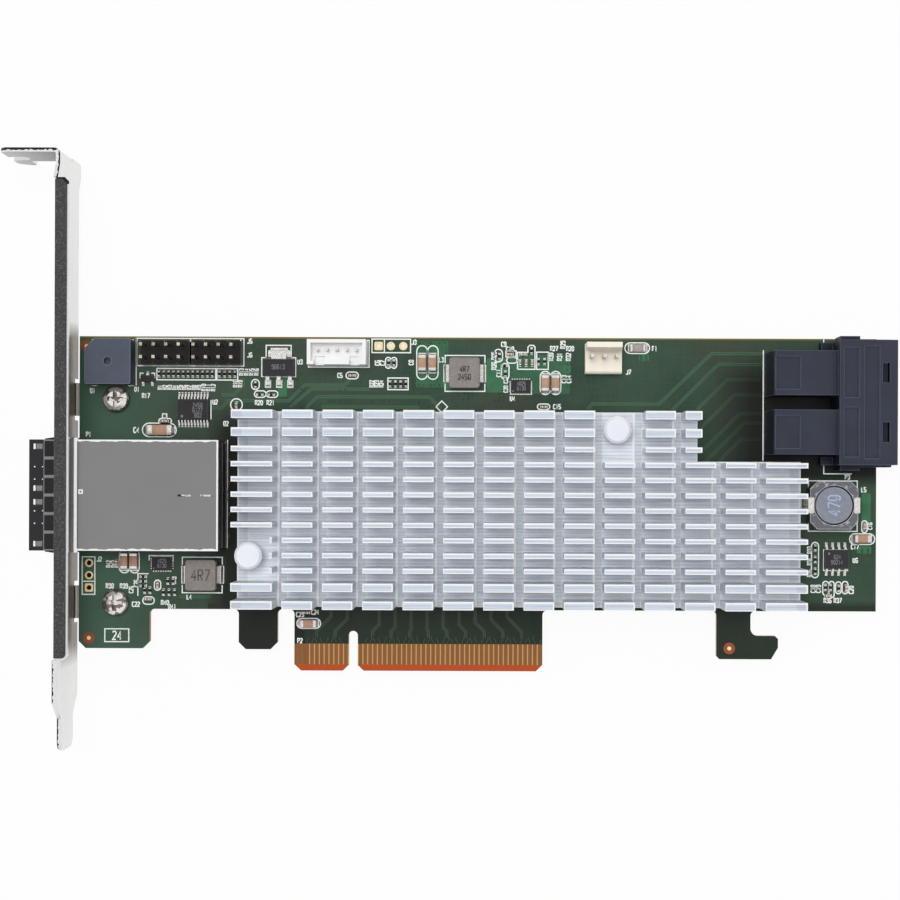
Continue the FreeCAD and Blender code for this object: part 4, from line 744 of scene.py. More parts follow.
# Each is named for the record's slot that it dresses
PLAIN_FINISHES = (
    Finish("gold_plate", srgb(146, 98, 58), 0.4, 0.5, Grain.DRAWN, 0.15, 0.002, 0.08, 1.5),
    Finish(
        "conductive_foam", srgb(70, 69, 70), 0.95, 0.0, Grain.FOAM, 0.34, 0.08, 0.08, 2.0, 0.2, specular=0.2
    ),
    Finish(
        "dark_plastic", srgb(38, 38, 41), 0.5, 0.0, Grain.MOULDED, 0.12, 0.01, 0.1, 3.0, 0.12,
        specular=0.3, painted_edge_colour=srgb(74, 74, 78), painted_edge_band=0.24,
    ),
    Finish("chip_package", srgb(40, 62, 44), 0.4, 0.0, Grain.SMOOTH, 0.3, 0.004, 0.05, 5.0, 0.05),
    Finish("lid_metal", srgb(170, 170, 172), 0.35, 0.9, Grain.ROLLED, 0.3, 0.002, 0.03, 5.0, 0.2),
    Finish("thermal_pad", srgb(150, 160, 175), 0.85, 0.0, Grain.MOULDED, 0.3, 0.02, 0.05, 3.0, 0.05),
    Finish("pin_plastic", srgb(246, 248, 254), 0.45, 0.0, Grain.SMOOTH, 0.5, 0.001, 0.01, 3.0, 0.12),
    Finish("spring_steel", srgb(180, 180, 180), 0.3, 0.9, Grain.SMOOTH, 0.3, 0.002, 0.05, 2.0, 0.05),
    Finish(
        "housing_plastic", srgb(53, 57, 69), 0.5, 0.0, Grain.MOULDED, 0.18, 0.012, 0.1, 5.0, 0.14,
        specular=0.25, painted_edge_colour=srgb(88, 95, 112), painted_edge_band=0.3, painted_side_shade=0.6, shelter=4.0,
    ),
    Finish(
        "sounder_plastic", srgb(82, 88, 102), 0.5, 0.0, Grain.MOULDED, 0.2, 0.012, 0.05, 4.0, 0.2,
        specular=0.3, painted_edge_colour=srgb(138, 146, 166), painted_edge_band=0.3, painted_side_shade=0.5,
    ),
    Finish(
        "header_plastic", srgb(27, 25, 25), 0.4, 0.0, Grain.MOULDED, 0.2, 0.008, 0.08, 3.0, 0.1,
        specular=0.3, painted_edge_colour=srgb(92, 88, 86), painted_edge_band=0.24,
    ),
    Finish(
        "header_pins", srgb(206, 196, 176), 0.2, 0.8, Grain.SMOOTH, 0.3, 0.002, 0.45, 0.8, 0.12, painted_side_shade=0.8
    ),
    Finish("white_plastic", srgb(250, 249, 249), 0.4, 0.0, Grain.MOULDED, 0.3, 0.002, 0.01, 4.0, 0.12),
    Finish(
        "cream_plastic", srgb(253, 244, 228), 0.4, 0.0, Grain.MOULDED, 0.3, 0.004, 0.015, 3.0, 0.15,
        painted_edge_colour=srgb(252, 248, 240), painted_edge_band=0.25,
    ),
    Finish(
        "coil_core", srgb(140, 133, 129), 0.55, 0.1, Grain.PRESSED, 0.3, 0.02, 0.08, 1.8, 0.25,
        painted_edge_colour=srgb(112, 106, 102), painted_edge_band=0.3, painted_side_shade=0.35,
    ),
    Finish(
        "solder_metal", srgb(238, 236, 232), 0.24, 0.85, Grain.SMOOTH, 0.5, 0.004, 0.16, 0.5, 0.06, painted_side_shade=0.55
    ),
    Finish(
        "chip_epoxy", srgb(52, 50, 52), 0.55, 0.0, Grain.MOULDED, 0.1, 0.008, 0.08, 2.0, 0.06,
        specular=0.25, painted_edge_colour=srgb(104, 102, 104), painted_edge_band=0.2, painted_side_shade=0.5,
    ),
    Finish("ceramic", srgb(188, 148, 124), 0.45, 0.0, Grain.MOULDED, 0.3, 0.006, 0.08, 0.8, 0.06, painted_side_shade=0.4),
    Finish(
        "resistor_coat", srgb(20, 20, 22), 0.3, 0.0, Grain.SMOOTH, 0.2, 0.003, 0.05, 0.6, 0.03, specular=0.3
    ),
    Finish("fuse_coat", srgb(170, 160, 156), 0.4, 0.0, Grain.MOULDED, 0.2, 0.004, 0.04, 0.8, 0.05),
)


BOARD_EDGE = node_box("circuit_board").low[0]
BRACKET_SHEET = 0.86
BRACKET_INNER = BOARD_EDGE - 1.2


@dataclass(frozen=True)
class SawCuts:
    """Cuts across the heatsink's fins; first is the middle of the first one, from the left end."""

    first: float = 9.24
    pitch: float = 8.03
    width: float = 1.95
    count: int = 13


CUTS = SawCuts()


@dataclass(frozen=True)
class FinFinish:
    """Extruded aluminium: drawn streaks and fine lines along the fins, grey cuts, painted light in the
    channels, painted highlights on the edges.
    """

    crown: Colour = srgb(212, 222, 235)
    channel: Colour = srgb(244, 249, 255)
    edge: Colour = srgb(255, 255, 255)
    crown_depth: float = 2.0
    streak: float = 0.34
    edge_highlight_width: float = 0.5
    cut_blur: float = 0.1
    line_pitch: float = 0.72
    line_half: float = 0.09
    name: str = "heatsink_aluminium"

    def make(self) -> Material:
        """Colour by height, with painted light low in the channels, then streaks, lines, cuts and painted
        edge highlights over it.

        Returns:
            The material.
        """
        graph = Graph(self.name)
        sink = node_box("heatsink")
        x, y, z = place_parts(graph)
        dark = shade(self.crown, -0.5)
        height = graph.ramp(z, sink.high[2] - self.crown_depth, sink.high[2])
        streaks = graph.noise(self.streak, (0.03, 1, 1), 4)
        # Painted light: lower down, towards the channel floors, the colour is lighter
        colour = graph.blend(height, self.channel, self.crown)
        colour = graph.blend(graph.spread(streaks, 0.36, 0, 0.36, 0.54), colour, shade(self.crown, -0.4))
        from_line = graph.from_lines(y, self.line_pitch)
        lines = graph.ramp(from_line, self.line_half, 2 * self.line_half, 0.22, 0)
        colour = graph.blend(lines, colour, dark)
        from_first = graph.math("SUBTRACT", x, (sink.low[0] + CUTS.first) * MM)
        from_cut = graph.from_lines(from_first, CUTS.pitch)
        cuts = graph.ramp(from_cut, CUTS.width / 2 - self.cut_blur, CUTS.width / 2, 0.3, 0)
        colour = graph.blend(cuts, colour, dark)
        # Painted highlight along every edge
        colour = graph.blend(edge_share(graph, self.edge_highlight_width), colour, self.edge)
        graph.paint(colour, graph.spread(streaks, 0.34, 0.5))
        graph.relief(streaks, 0.006, 0.14)
        return graph.material


@dataclass(frozen=True)
class SteelFinish:
    """Plated bracket steel: dark torn line on its sheared edges, painted reflection of the board beside it,
    painted shade under its tab.
    """

    plate: Colour = srgb(244, 244, 243)
    torn: Colour = srgb(40, 40, 42)
    tab_lit_underside: Colour = srgb(186, 186, 186)
    tab_shaded_underside: Colour = srgb(88, 88, 90)
    board_reflection: Colour = srgb(150, 138, 127)
    fold_y: float = 98.0
    foot_y: float = 4.0
    near_face: float = 8.0
    line: float = 0.34
    ragged: float = 0.16
    reflection_foot: tuple[float, float] = (1.0, 5.0)
    reflection_fade: float = 3.0
    reflection_height: tuple[float, float] = (10.5, 12.0)
    name: str = "bracket_steel"

    def make(self) -> Material:
        """Rolled steel whose colour follows the place and the facing.

        Returns:
            The material.
        """
        graph = Graph(self.name)
        x, y, z = place_parts(graph)
        turned = facing(graph)
        steel, board = node_box("mounting_bracket"), node_box("circuit_board")
        patches = graph.noise(9.0, (1, 0.35, 1))
        plate = graph.blend(graph.spread(patches, 0, 1), shade(self.plate, -0.06), self.plate)
        # Painted reflection: brown streaks of the board mirrored on the inner face beside it
        streaks = graph.spread(graph.noise(0.9, (1, 0.02, 1), 2), 0, 1, 0.35, 0.65)
        reflection_share = graph.product(
            graph.ramp(y, board.high[1], board.high[1] + self.reflection_fade, 1, 0),
            graph.ramp(y, *self.reflection_foot),
            graph.ramp(z, *self.reflection_height, 1, 0),
            graph.math("GREATER_THAN", turned["X"], 0.6),
        )
        brown = graph.blend(streaks, shade(self.board_reflection, -0.4), self.board_reflection)
        colour = graph.blend(reflection_share, plate, brown)
        # Painted shade: the underside of the top tab, light at the left and darker towards the right
        under = graph.product(graph.math("LESS_THAN", turned["Y"], -0.5), graph.past(y, self.fold_y))
        across = graph.ramp(x, steel.low[0], board.low[0] - 1.5)
        colour = graph.blend(under, colour, graph.blend(across, self.tab_lit_underside, self.tab_shaded_underside))
        # Torn line on the sheared edges that face up
        uneven = graph.spread(graph.noise(0.7, (1, 1, 1), 4), -self.ragged * MM, self.ragged * MM, 0.35, 0.65)
        ragged_x, ragged_y = graph.math("ADD", x, uneven), graph.math("ADD", y, uneven)
        top = graph.past(ragged_y, steel.high[1] - self.line - 0.14)
        inner = graph.product(graph.past(ragged_x, BRACKET_INNER - self.line), graph.past(y, self.fold_y))
        outer = graph.before(ragged_x, BRACKET_INNER - BRACKET_SHEET + self.line - 0.1)
        outer = graph.product(outer, graph.before(y, self.foot_y))
        torn = graph.product(
            graph.most(top, inner, outer),
            graph.math("GREATER_THAN", turned["Z"], 0.7),
            graph.past(z, self.near_face),
        )
        colour = graph.blend(torn, colour, self.torn)
        grain = graph.noise(0.5, (1, 0.35, 1), 4)
        graph.paint(colour, graph.spread(grain, 0.3, 0.42), 0.7)
        graph.relief(grain, 0.003, 0.12)
        return graph.material


@dataclass(frozen=True)
class CageFinish:
    """Tinned sheet mirroring a grey sky on its flat top; painted highlights on its folds, painted shade on
    its sides and sunk places.
    """

    sheet: Colour = srgb(148, 148, 148)
    side: Colour = srgb(120, 120, 121)
    slot: Colour = srgb(52, 52, 54)
    fold: float = 0.32
    plate_inset: float = 0.35
    lip_from: float = 1.45
    lip_wide: float = 0.62
    blur: float = 0.06
    lip_blur: float = 0.08
    uneven: float = 0.14
    top_depth: float = 0.6
    sunk_depths: tuple[float, float] = (0.5, 0.7)
    sunk_from: float = -35.0
    name: str = "cage_metal"

    def make(self) -> Material:
        """Grey top with painted highlights along its four folds.

        Returns:
            The material.
        """
        graph = Graph(self.name)
        cage = node_box("external_port_cage")
        x, y, z = place_parts(graph)
        patches = graph.noise(9.0)
        colour = graph.blend(graph.spread(patches, 0, 1), shade(self.sheet, -0.02), shade(self.sheet, 0.02))
        # Painted shade: faces that do not face up are darker
        colour = graph.blend(graph.math("GREATER_THAN", facing(graph)["Z"], 0.5), self.side, colour)
        wave = graph.spread(graph.noise(1.6, (1, 1, 1), 2), -self.uneven * MM, self.uneven * MM)
        wavy = graph.math("ADD", y, wave)
        upper = cage.high[1] - self.plate_inset - self.fold
        lower = cage.low[1] + self.plate_inset + self.fold
        back = cage.high[0] - self.fold
        lip = BOARD_EDGE + self.lip_from
        # Painted highlight along the four folds and the lip
        rim = graph.most(
            graph.ramp(wavy, upper - self.blur, upper),
            graph.ramp(wavy, lower, lower + self.blur, 1, 0),
            graph.ramp(x, back - self.blur, back),
            graph.ramp(x, lip + self.lip_wide, lip + self.lip_wide + self.lip_blur, 1, 0),
        )
        rim = graph.product(rim, graph.past(z, cage.high[2] - self.top_depth), graph.past(x, lip))
        colour = graph.blend(rim, colour, PAINTED_HIGHLIGHT)
        # Painted shade in the sunk places, flecked with painted glints
        shallow, deep = self.sunk_depths
        sunk = graph.product(
            graph.before(z, cage.high[2] - shallow), graph.past(z, cage.high[2] - deep),
            graph.past(x, self.sunk_from),
        )
        flecks = graph.spread(graph.noise(0.8, (1, 1, 1), 2), 0, 1, 0.45, 0.55)
        colour = graph.blend(sunk, colour, graph.blend(flecks, self.slot, PAINTED_HIGHLIGHT))
        graph.paint(colour, graph.spread(rim, 0.34, 0.6, 0, 1), graph.spread(rim, 1.0, 0.0, 0, 1))
        graph.relief(graph.noise(0.6, (1, 0.35, 1), 4), 0.002, 0.12)
        return graph.material


@dataclass(frozen=True)
class CollarFinish:
    """Spring sheet, painted dark outside the bracket as a reflection of the dark room, and grey in the slit
    beside the cage.
    """

    outside: Colour = srgb(32, 32, 34)
    inside: Colour = srgb(142, 142, 143)
    line: Colour = srgb(94, 94, 95)
    finger_highlight_width: float = 0.13
    name: str = "spring_metal"

    def make(self) -> Material:
        """Sheet with a painted dark reflection and painted highlights on its edges, grey from the bracket
        inwards.

        Returns:
            The material.
        """
        graph = Graph(self.name)
        x, _, _ = place_parts(graph)
        streaks = graph.spread(graph.noise(2.0, (1, 0.2, 1)), 0, 1)
        # Painted reflection: outside the bracket the sheet mirrors the dark room
        colour = graph.blend(streaks, shade(self.outside, -0.15), shade(self.outside, 0.15))
        # Painted highlight along the edges
        colour = graph.blend(edge_share(graph, self.finger_highlight_width), colour, self.line)
        slit = graph.blend(streaks, shade(self.inside, -0.25), shade(self.inside, 0.1))
        colour = graph.blend(graph.past(x, BRACKET_INNER), colour, slit)
        graph.paint(colour, 0.4, 0.5)
        graph.relief(None, 0, 0.06)
        return graph.material


@dataclass(frozen=True)
class DrumFinish:
    """Ferrite of a drum coil: mottled dark shield with pale flecks round a lighter core, painted edge
    highlights, painted shade on its sides.
    """

    shield: Colour = srgb(102, 104, 110)
    fleck: Colour = srgb(196, 200, 208)
    core: Colour = srgb(138, 142, 155)
    rim: Colour = srgb(218, 220, 224)
    rim_width: float = 0.3
    clearance: float = 0.03
    name: str = "drum_ferrite"

    def make(self) -> Material:
        """Core colour within the core's radius of its middle, shield colour beyond it.

        Returns:
            The material.
        """
        graph = Graph(self.name)
        core = node_box("drum_inductor_core")
        x, y, _ = place_parts(graph)
        off_x = graph.math("SUBTRACT", x, core.centre[0] * MM)
        off_y = graph.math("SUBTRACT", y, core.centre[1] * MM)
        squares = graph.math("ADD", graph.product(off_x, off_x), graph.product(off_y, off_y))
        radius = core.high[0] - core.centre[0] + self.clearance
        outside = graph.past(graph.math("SQRT", squares), radius)
        patches = graph.noise(0.9)
        shield = graph.blend(graph.spread(patches, 0, 0.7, 0.56, 0.68), self.shield, self.fleck)
        inner = graph.blend(graph.spread(patches, 0, 1), shade(self.core, -0.1), shade(self.core, 0.1))
        colour = graph.blend(outside, inner, shield)
        # Painted highlight along the edges
        colour = graph.blend(edge_share(graph, self.rim_width), colour, self.rim)
        # Painted shade: faces that turn sideways go towards black
        sides = graph.spread(facing(graph)["Z"], 0.7, 0, 0.2, 0.8)
        graph.paint(graph.blend(sides, colour, BLACK), 0.45)
        graph.relief(patches, 0.012, 0.12)
        return graph.material


@dataclass(frozen=True)
class ScrewFinish:
    """Bright plated steel with painted reflections of dark and warm patches of the room."""

    bright: Colour = srgb(250, 246, 238)
    dark: Colour = srgb(84, 68, 56)
    patch: float = 2.0
    name: str = "screw_steel"

    def make(self) -> Material:
        """Bright crown with painted dark reflections in patches and on its walls.

        Returns:
            The material.
        """
        graph = Graph(self.name)
        # Painted reflection: dark patches, and walls that darken as they turn from up
        patches = graph.spread(graph.noise(self.patch), 0, 1, 0.49, 0.53)
        rim = graph.spread(facing(graph)["Z"], 1, 0, 0.35, 0.8)
        shadow = graph.most(graph.product(patches, 0.85), graph.product(rim, 0.8))
        colour = graph.blend(shadow, self.bright, self.dark)
        graph.paint(colour, 0.22, 0.75)
        graph.relief(graph.noise(0.5), 0.01, 0.12)
        return graph.material


@dataclass(frozen=True)
class PaintedShelterShade:
    """Places, in millimetres, where painted shade stands for tall neighbours keeping the light from the
    board's mask.
    """

    beside_housing: tuple[float, float] = (71.0, 82.0)
    housing_foot: tuple[float, float] = (38.0, 41.0)
    housing_top: tuple[float, float] = (60.0, 67.0)
    housing_share: float = 0.97
    behind_cage: tuple[float, float] = (-31.0, -26.5)
    cage_top: tuple[float, float] = (50.0, 56.0)
    cage_end: float = -10.0
    cage_share: float = 0.9
    tabs_left: float = -30.0
    tabs_top: tuple[float, float] = (13.5, 15.0)
    tabs_share: float = 0.7

    def share(self, graph: Graph, x: Socket, y: Socket) -> Socket:
        """Share of painted shade: by the housing, behind the cage, and a painted shadow on the board's lower
        tabs.

        Args:
            graph: the material.
            x: place along x.
            y: place along y.

        Returns:
            The share.
        """
        by_housing = graph.product(
            graph.ramp(x, *self.beside_housing, 0, self.housing_share),
            graph.ramp(y, *self.housing_top, 1, 0),
            graph.ramp(y, *self.housing_foot),
        )
        by_cage = graph.product(
            graph.ramp(x, *self.behind_cage, 0, self.cage_share),
            graph.ramp(y, *self.cage_top, 1, 0),
            graph.before(x, self.cage_end),
        )
        on_tabs = graph.product(
            graph.ramp(y, *self.tabs_top, self.tabs_share, 0), graph.past(x, self.tabs_left)
        )
        return graph.most(by_housing, by_cage, on_tabs)


@dataclass(frozen=True)
class BoardFinish:
    """Green solder mask on a glass-fibre board, bare along its cut edges and on the slot tongue."""

    mask: Colour = srgb(44, 64, 50)
    mask_light: Colour = srgb(62, 84, 68)
    mask_brown: Colour = srgb(66, 68, 58)
    painted_shade_colour: Colour = srgb(25, 27, 24)
    painted_light_colour: Colour = srgb(72, 100, 82)
    painted_light_span: tuple[float, float] = (-57.0, -33.0)
    laminate: Colour = srgb(186, 112, 70)
    rim: Colour = srgb(120, 108, 52)
    rim_width: float = 0.32
    tongue: Colour = srgb(140, 92, 54)
    between: Colour = srgb(206, 156, 98)
    bevel: Colour = srgb(188, 82, 42)
    bevel_top: float = 1.35
    tongue_left: float = -13.15
    tongue_right: float = 40.05
    tongue_top: float = 5.6
    contacts_left: float = -9.2
    contacts_right: float = 38.2
    half_pitch: float = 0.5
    half_gap: float = 0.13
    weave: float = 0.45
    name: str = "board"

    def masked(self, graph: Graph, x: Socket, y: Socket) -> Socket:
        """Colour of the mask: cloudy over the cloth's weave, with painted light at the left and painted shade
        near tall parts.

        Args:
            graph: the material.
            x: place along x.
            y: place along y.

        Returns:
            The colour.
        """
        mask = graph.blend(graph.spread(graph.noise(16), 0, 1), self.mask, self.mask_light)
        brown = graph.spread(graph.noise(22, (1, 1.3, 1), 2), 0, 0.7, 0.46, 0.66)
        mask = graph.blend(brown, mask, self.mask_brown)
        weft = graph.noise(self.weave, (1, 0.1, 1))
        warp = graph.noise(self.weave, (0.1, 1, 1))
        cloth = graph.product(graph.math("ADD", weft, warp), 0.5)
        mask = graph.blend(graph.spread(cloth, 0, 0.2, 0.42, 0.62), mask, shade(self.mask_light, 0.35))
        # Painted light: the mask lighter towards the left end
        mask = graph.blend(graph.ramp(x, *self.painted_light_span, 1, 0), mask, self.painted_light_colour)
        # Painted shade near tall neighbours
        mask = graph.blend(PaintedShelterShade().share(graph, x, y), mask, self.painted_shade_colour)
        top = node_box("circuit_board").high[1] - self.rim_width
        return graph.blend(graph.past(y, top), mask, self.rim)

    def fingers(self, graph: Graph, x: Socket, y: Socket) -> Socket:
        """Colour of the bare tongue: lighter between the contacts, red-brown on the bevel.

        Args:
            graph: the material.
            x: place along x.
            y: place along y.

        Returns:
            The colour.
        """
        gap = graph.product(
            graph.before(graph.math("PINGPONG", x, self.half_pitch * MM), self.half_gap),
            graph.past(x, self.contacts_left),
            graph.before(x, self.contacts_right),
        )
        bare = graph.blend(gap, self.tongue, self.between)
        return graph.blend(graph.before(y, self.bevel_top), bare, self.bevel)

    def make(self) -> Material:
        """Mask on the flat faces, laminate on the sides, and bare laminate low on the tongue.

        Returns:
            The material.
        """
        graph = Graph(self.name)
        x, y, _ = place_parts(graph)
        flat = graph.math("GREATER_THAN", graph.math("ABSOLUTE", facing(graph)["Z"]), 0.5)
        fibres = graph.noise(self.weave, (1, 0.12, 1))
        side = graph.blend(graph.spread(fibres, 0, 1), self.laminate, shade(self.laminate, -0.35))
        colour = graph.blend(flat, side, self.masked(graph, x, y))
        on_tongue = graph.product(
            graph.before(y, self.tongue_top),
            graph.past(x, self.tongue_left),
            graph.before(x, self.tongue_right),
        )
        colour = graph.blend(on_tongue, colour, self.fingers(graph, x, y))
        fine = graph.noise(0.5)
        graph.paint(colour, graph.spread(fine, 0.3, 0.42), specular=0.2)
        graph.relief(fine, 0.004, 0.08)
        return graph.material


@dataclass(frozen=True)
class TraceFinish:
    """Mask over a trace: a little lighter than the field round it, and dark with painted shade near tall
    parts.
    """

    colour: Colour = srgb(72, 102, 78)
    painted_shade_colour: Colour = srgb(36, 38, 31)
    name: str = "masked_trace"

    def make(self) -> Material:
        """One colour that goes dark with painted shade by the same share as the board's mask.

        Returns:
            The material.
        """
        graph = Graph(self.name)
        x, y, _ = place_parts(graph)
        dark = PaintedShelterShade().share(graph, x, y)
        graph.paint(graph.blend(dark, self.colour, self.painted_shade_colour), 0.36, specular=0.2)
        return graph.material


def moulded(
    name: str, colour: Colour, roughness: float, grain_size: float, depth: float, mottle: float,
    mottle_size: float, specular: float = 0.5, metallic: float = 0.0,
) -> Finish:
    """Finish with the even fine relief of ink, mask, laminate or plating."""
    return Finish(
        name, colour, roughness, metallic, Grain.MOULDED, grain_size, depth, mottle, mottle_size,
        specular=specular,
    )


# Finishes of the pieces that this file adds
INK = moulded("legend_ink", srgb(250, 253, 250), 0.6, 0.2, 0.002, 0.02, 0.7, 0.2)
MASKED_FLOOD = moulded("masked_flood", srgb(64, 114, 82), 0.34, 0.5, 0.002, 0.14, 2.0, 0.22)
MASKED_STUB = moulded("masked_stub", srgb(62, 76, 60), 0.36, 0.4, 0.002, 0.05, 3.0, 0.22)
MASKED_VIA = moulded("masked_via", srgb(40, 54, 38), 0.4, 0.5, 0.002, 0.1, 2.0, 0.3)
PALE_FLOOD = moulded("pale_flood", srgb(58, 102, 75), 0.34, 0.5, 0.002, 0.14, 2.0, 0.22)
BARE_LAMINATE = moulded("bare_laminate", srgb(150, 82, 52), 0.5, 0.5, 0.004, 0.18, 0.8, 0.3)
PAD_GOLD = moulded("pad_gold", srgb(255, 230, 178), 0.3, 0.25, 0.004, 0.08, 0.8, metallic=0.08)
# Painted shade: dark discs set in the lower jumper holes
PAINTED_HOLE_SHADE = moulded("painted_hole_shade", srgb(62, 30, 22), 0.8, 0.3, 0.0, 0.1, 0.8, 0.1)
HOLE_SOLDER = moulded("hole_solder", srgb(250, 240, 232), 0.3, 0.3, 0.0, 0.1, 0.8, metallic=0.1)
MARK_GREY = moulded("mark_grey", srgb(132, 130, 132), 0.6, 0.2, 0.0, 0.05, 0.7, 0.2)
MARK_DARK = moulded("mark_dark", srgb(92, 86, 84), 0.6, 0.2, 0.0, 0.05, 0.7, 0.2)
MARK_BLUE = moulded("mark_blue", srgb(178, 192, 218), 0.6, 0.2, 0.0, 0.05, 0.7, 0.2)
LATCH_GREY = Finish("latch_grey", srgb(140, 140, 140), 0.45, 0.6, Grain.ROLLED, 0.3, 0.002, 0.05, 1.0)
CAGE_LEDGE = Finish(
    "cage_ledge", srgb(46, 47, 48), 0.4, 0.4, Grain.ROLLED, 0.3, 0.002, 0.1, 1.0,
    painted_edge_colour=srgb(214, 214, 212), painted_edge_band=0.16,
)
# Painted highlight: the white laid on the heatsink, the cage and the port's frame
GLINT = Finish("glint", srgb(252, 252, 252), 0.4, 0.0, Grain.SMOOTH, 0.3, 0.0, 0.02, 0.7)

# Heights of the board's two faces
FACE = node_box("capacitor_ends").low[2]
BACK = -FACE

# Each glyph is strokes of grid points, two digits a point, on a grid 4 wide and 6 high
GLYPHS = {
    "0": "01051636454130100122", "1": "15262010 2030", "2": "05163645440040",
    "3": "05163645443313 334241301001", "4": "30360242", "5": "460603334241301001",
    "6": "4536160501103041423303", "7": "06464510", "8": "130405163645443313020110304142 4233",
    "9": "0110304145361605041343", "C": "4536160501103041", "R": "00063645443303 2340",
    "U": "060110304146", "L": "060040", "J": "4641301001", "Q": "010516364541301001 2240",
    "F": "460600 0333", "D": "00062644422000", "P": "00063645443303", "B": "00063645443303 3342413000",
}
GLYPH_WIDE, GLYPH_HIGH, GLYPH_STEP = 4, 6, 6.0
GLYPH_NARROW = 0.62


@dataclass(frozen=True)
class LabelRow:
    """Row of printed designators that count up.

    x and y are the middle of the first one; upright labels read from bottom to top.
    """

    letter: str
    first: int
    x: float
    y: float
    step_x: float = 0.0
    step_y: float = 0.0
    count: int = 1
    upright: bool = False
    height: float = 0.9


def glyph_paths(text: str, x: float, y: float, height: float, upright: bool) -> list[np.ndarray]:
    """Strokes of a line of text about (x, y).

    A grid point (g, h) of letter k goes to the text's own plane at (g + k times the step, h), less half
    the text's size, times the height over the grid's height, and is narrowed along the line; upright text
    is turned by a quarter.

    Args:
        text: letters and digits of GLYPHS.
        x: middle along x.
        y: middle along y.
        height: height of a letter.
        upright: reads from bottom to top.

    Returns:
        Points of each stroke.
    """
    unit = height / GLYPH_HIGH
    middle = np.array([(len(text) - 1) * GLYPH_STEP + GLYPH_WIDE, GLYPH_HIGH]) / 2
    paths = []
    for k, letter in enumerate(text):
        for stroke in GLYPHS[letter].split():
            grid = np.array([[int(c) for c in stroke[i:i + 2]] for i in range(0, len(stroke), 2)], float)
            flat = (grid + (k * GLYPH_STEP, 0) - middle) * unit * (GLYPH_NARROW, 1)
            if upright:
                flat = np.column_stack([-flat[:, 1], flat[:, 0]])
            paths.append(flat + (x, y))
    return paths


def capsule(x0: float, x1: float, y0: float, y1: float) -> np.ndarray:
    """Loop round a box whose short ends are half circles."""
    return loop_box(x0, x1, y0, y1, min(x1 - x0, y1 - y0) / 2 - 0.01)  # the ends stay a little flat


def corners(x0: float, x1: float, y0: float, y1: float) -> np.ndarray:
    """Loop round a box with square corners."""
    return np.array([[x0, y0], [x1, y0], [x1, y1], [x0, y1]])


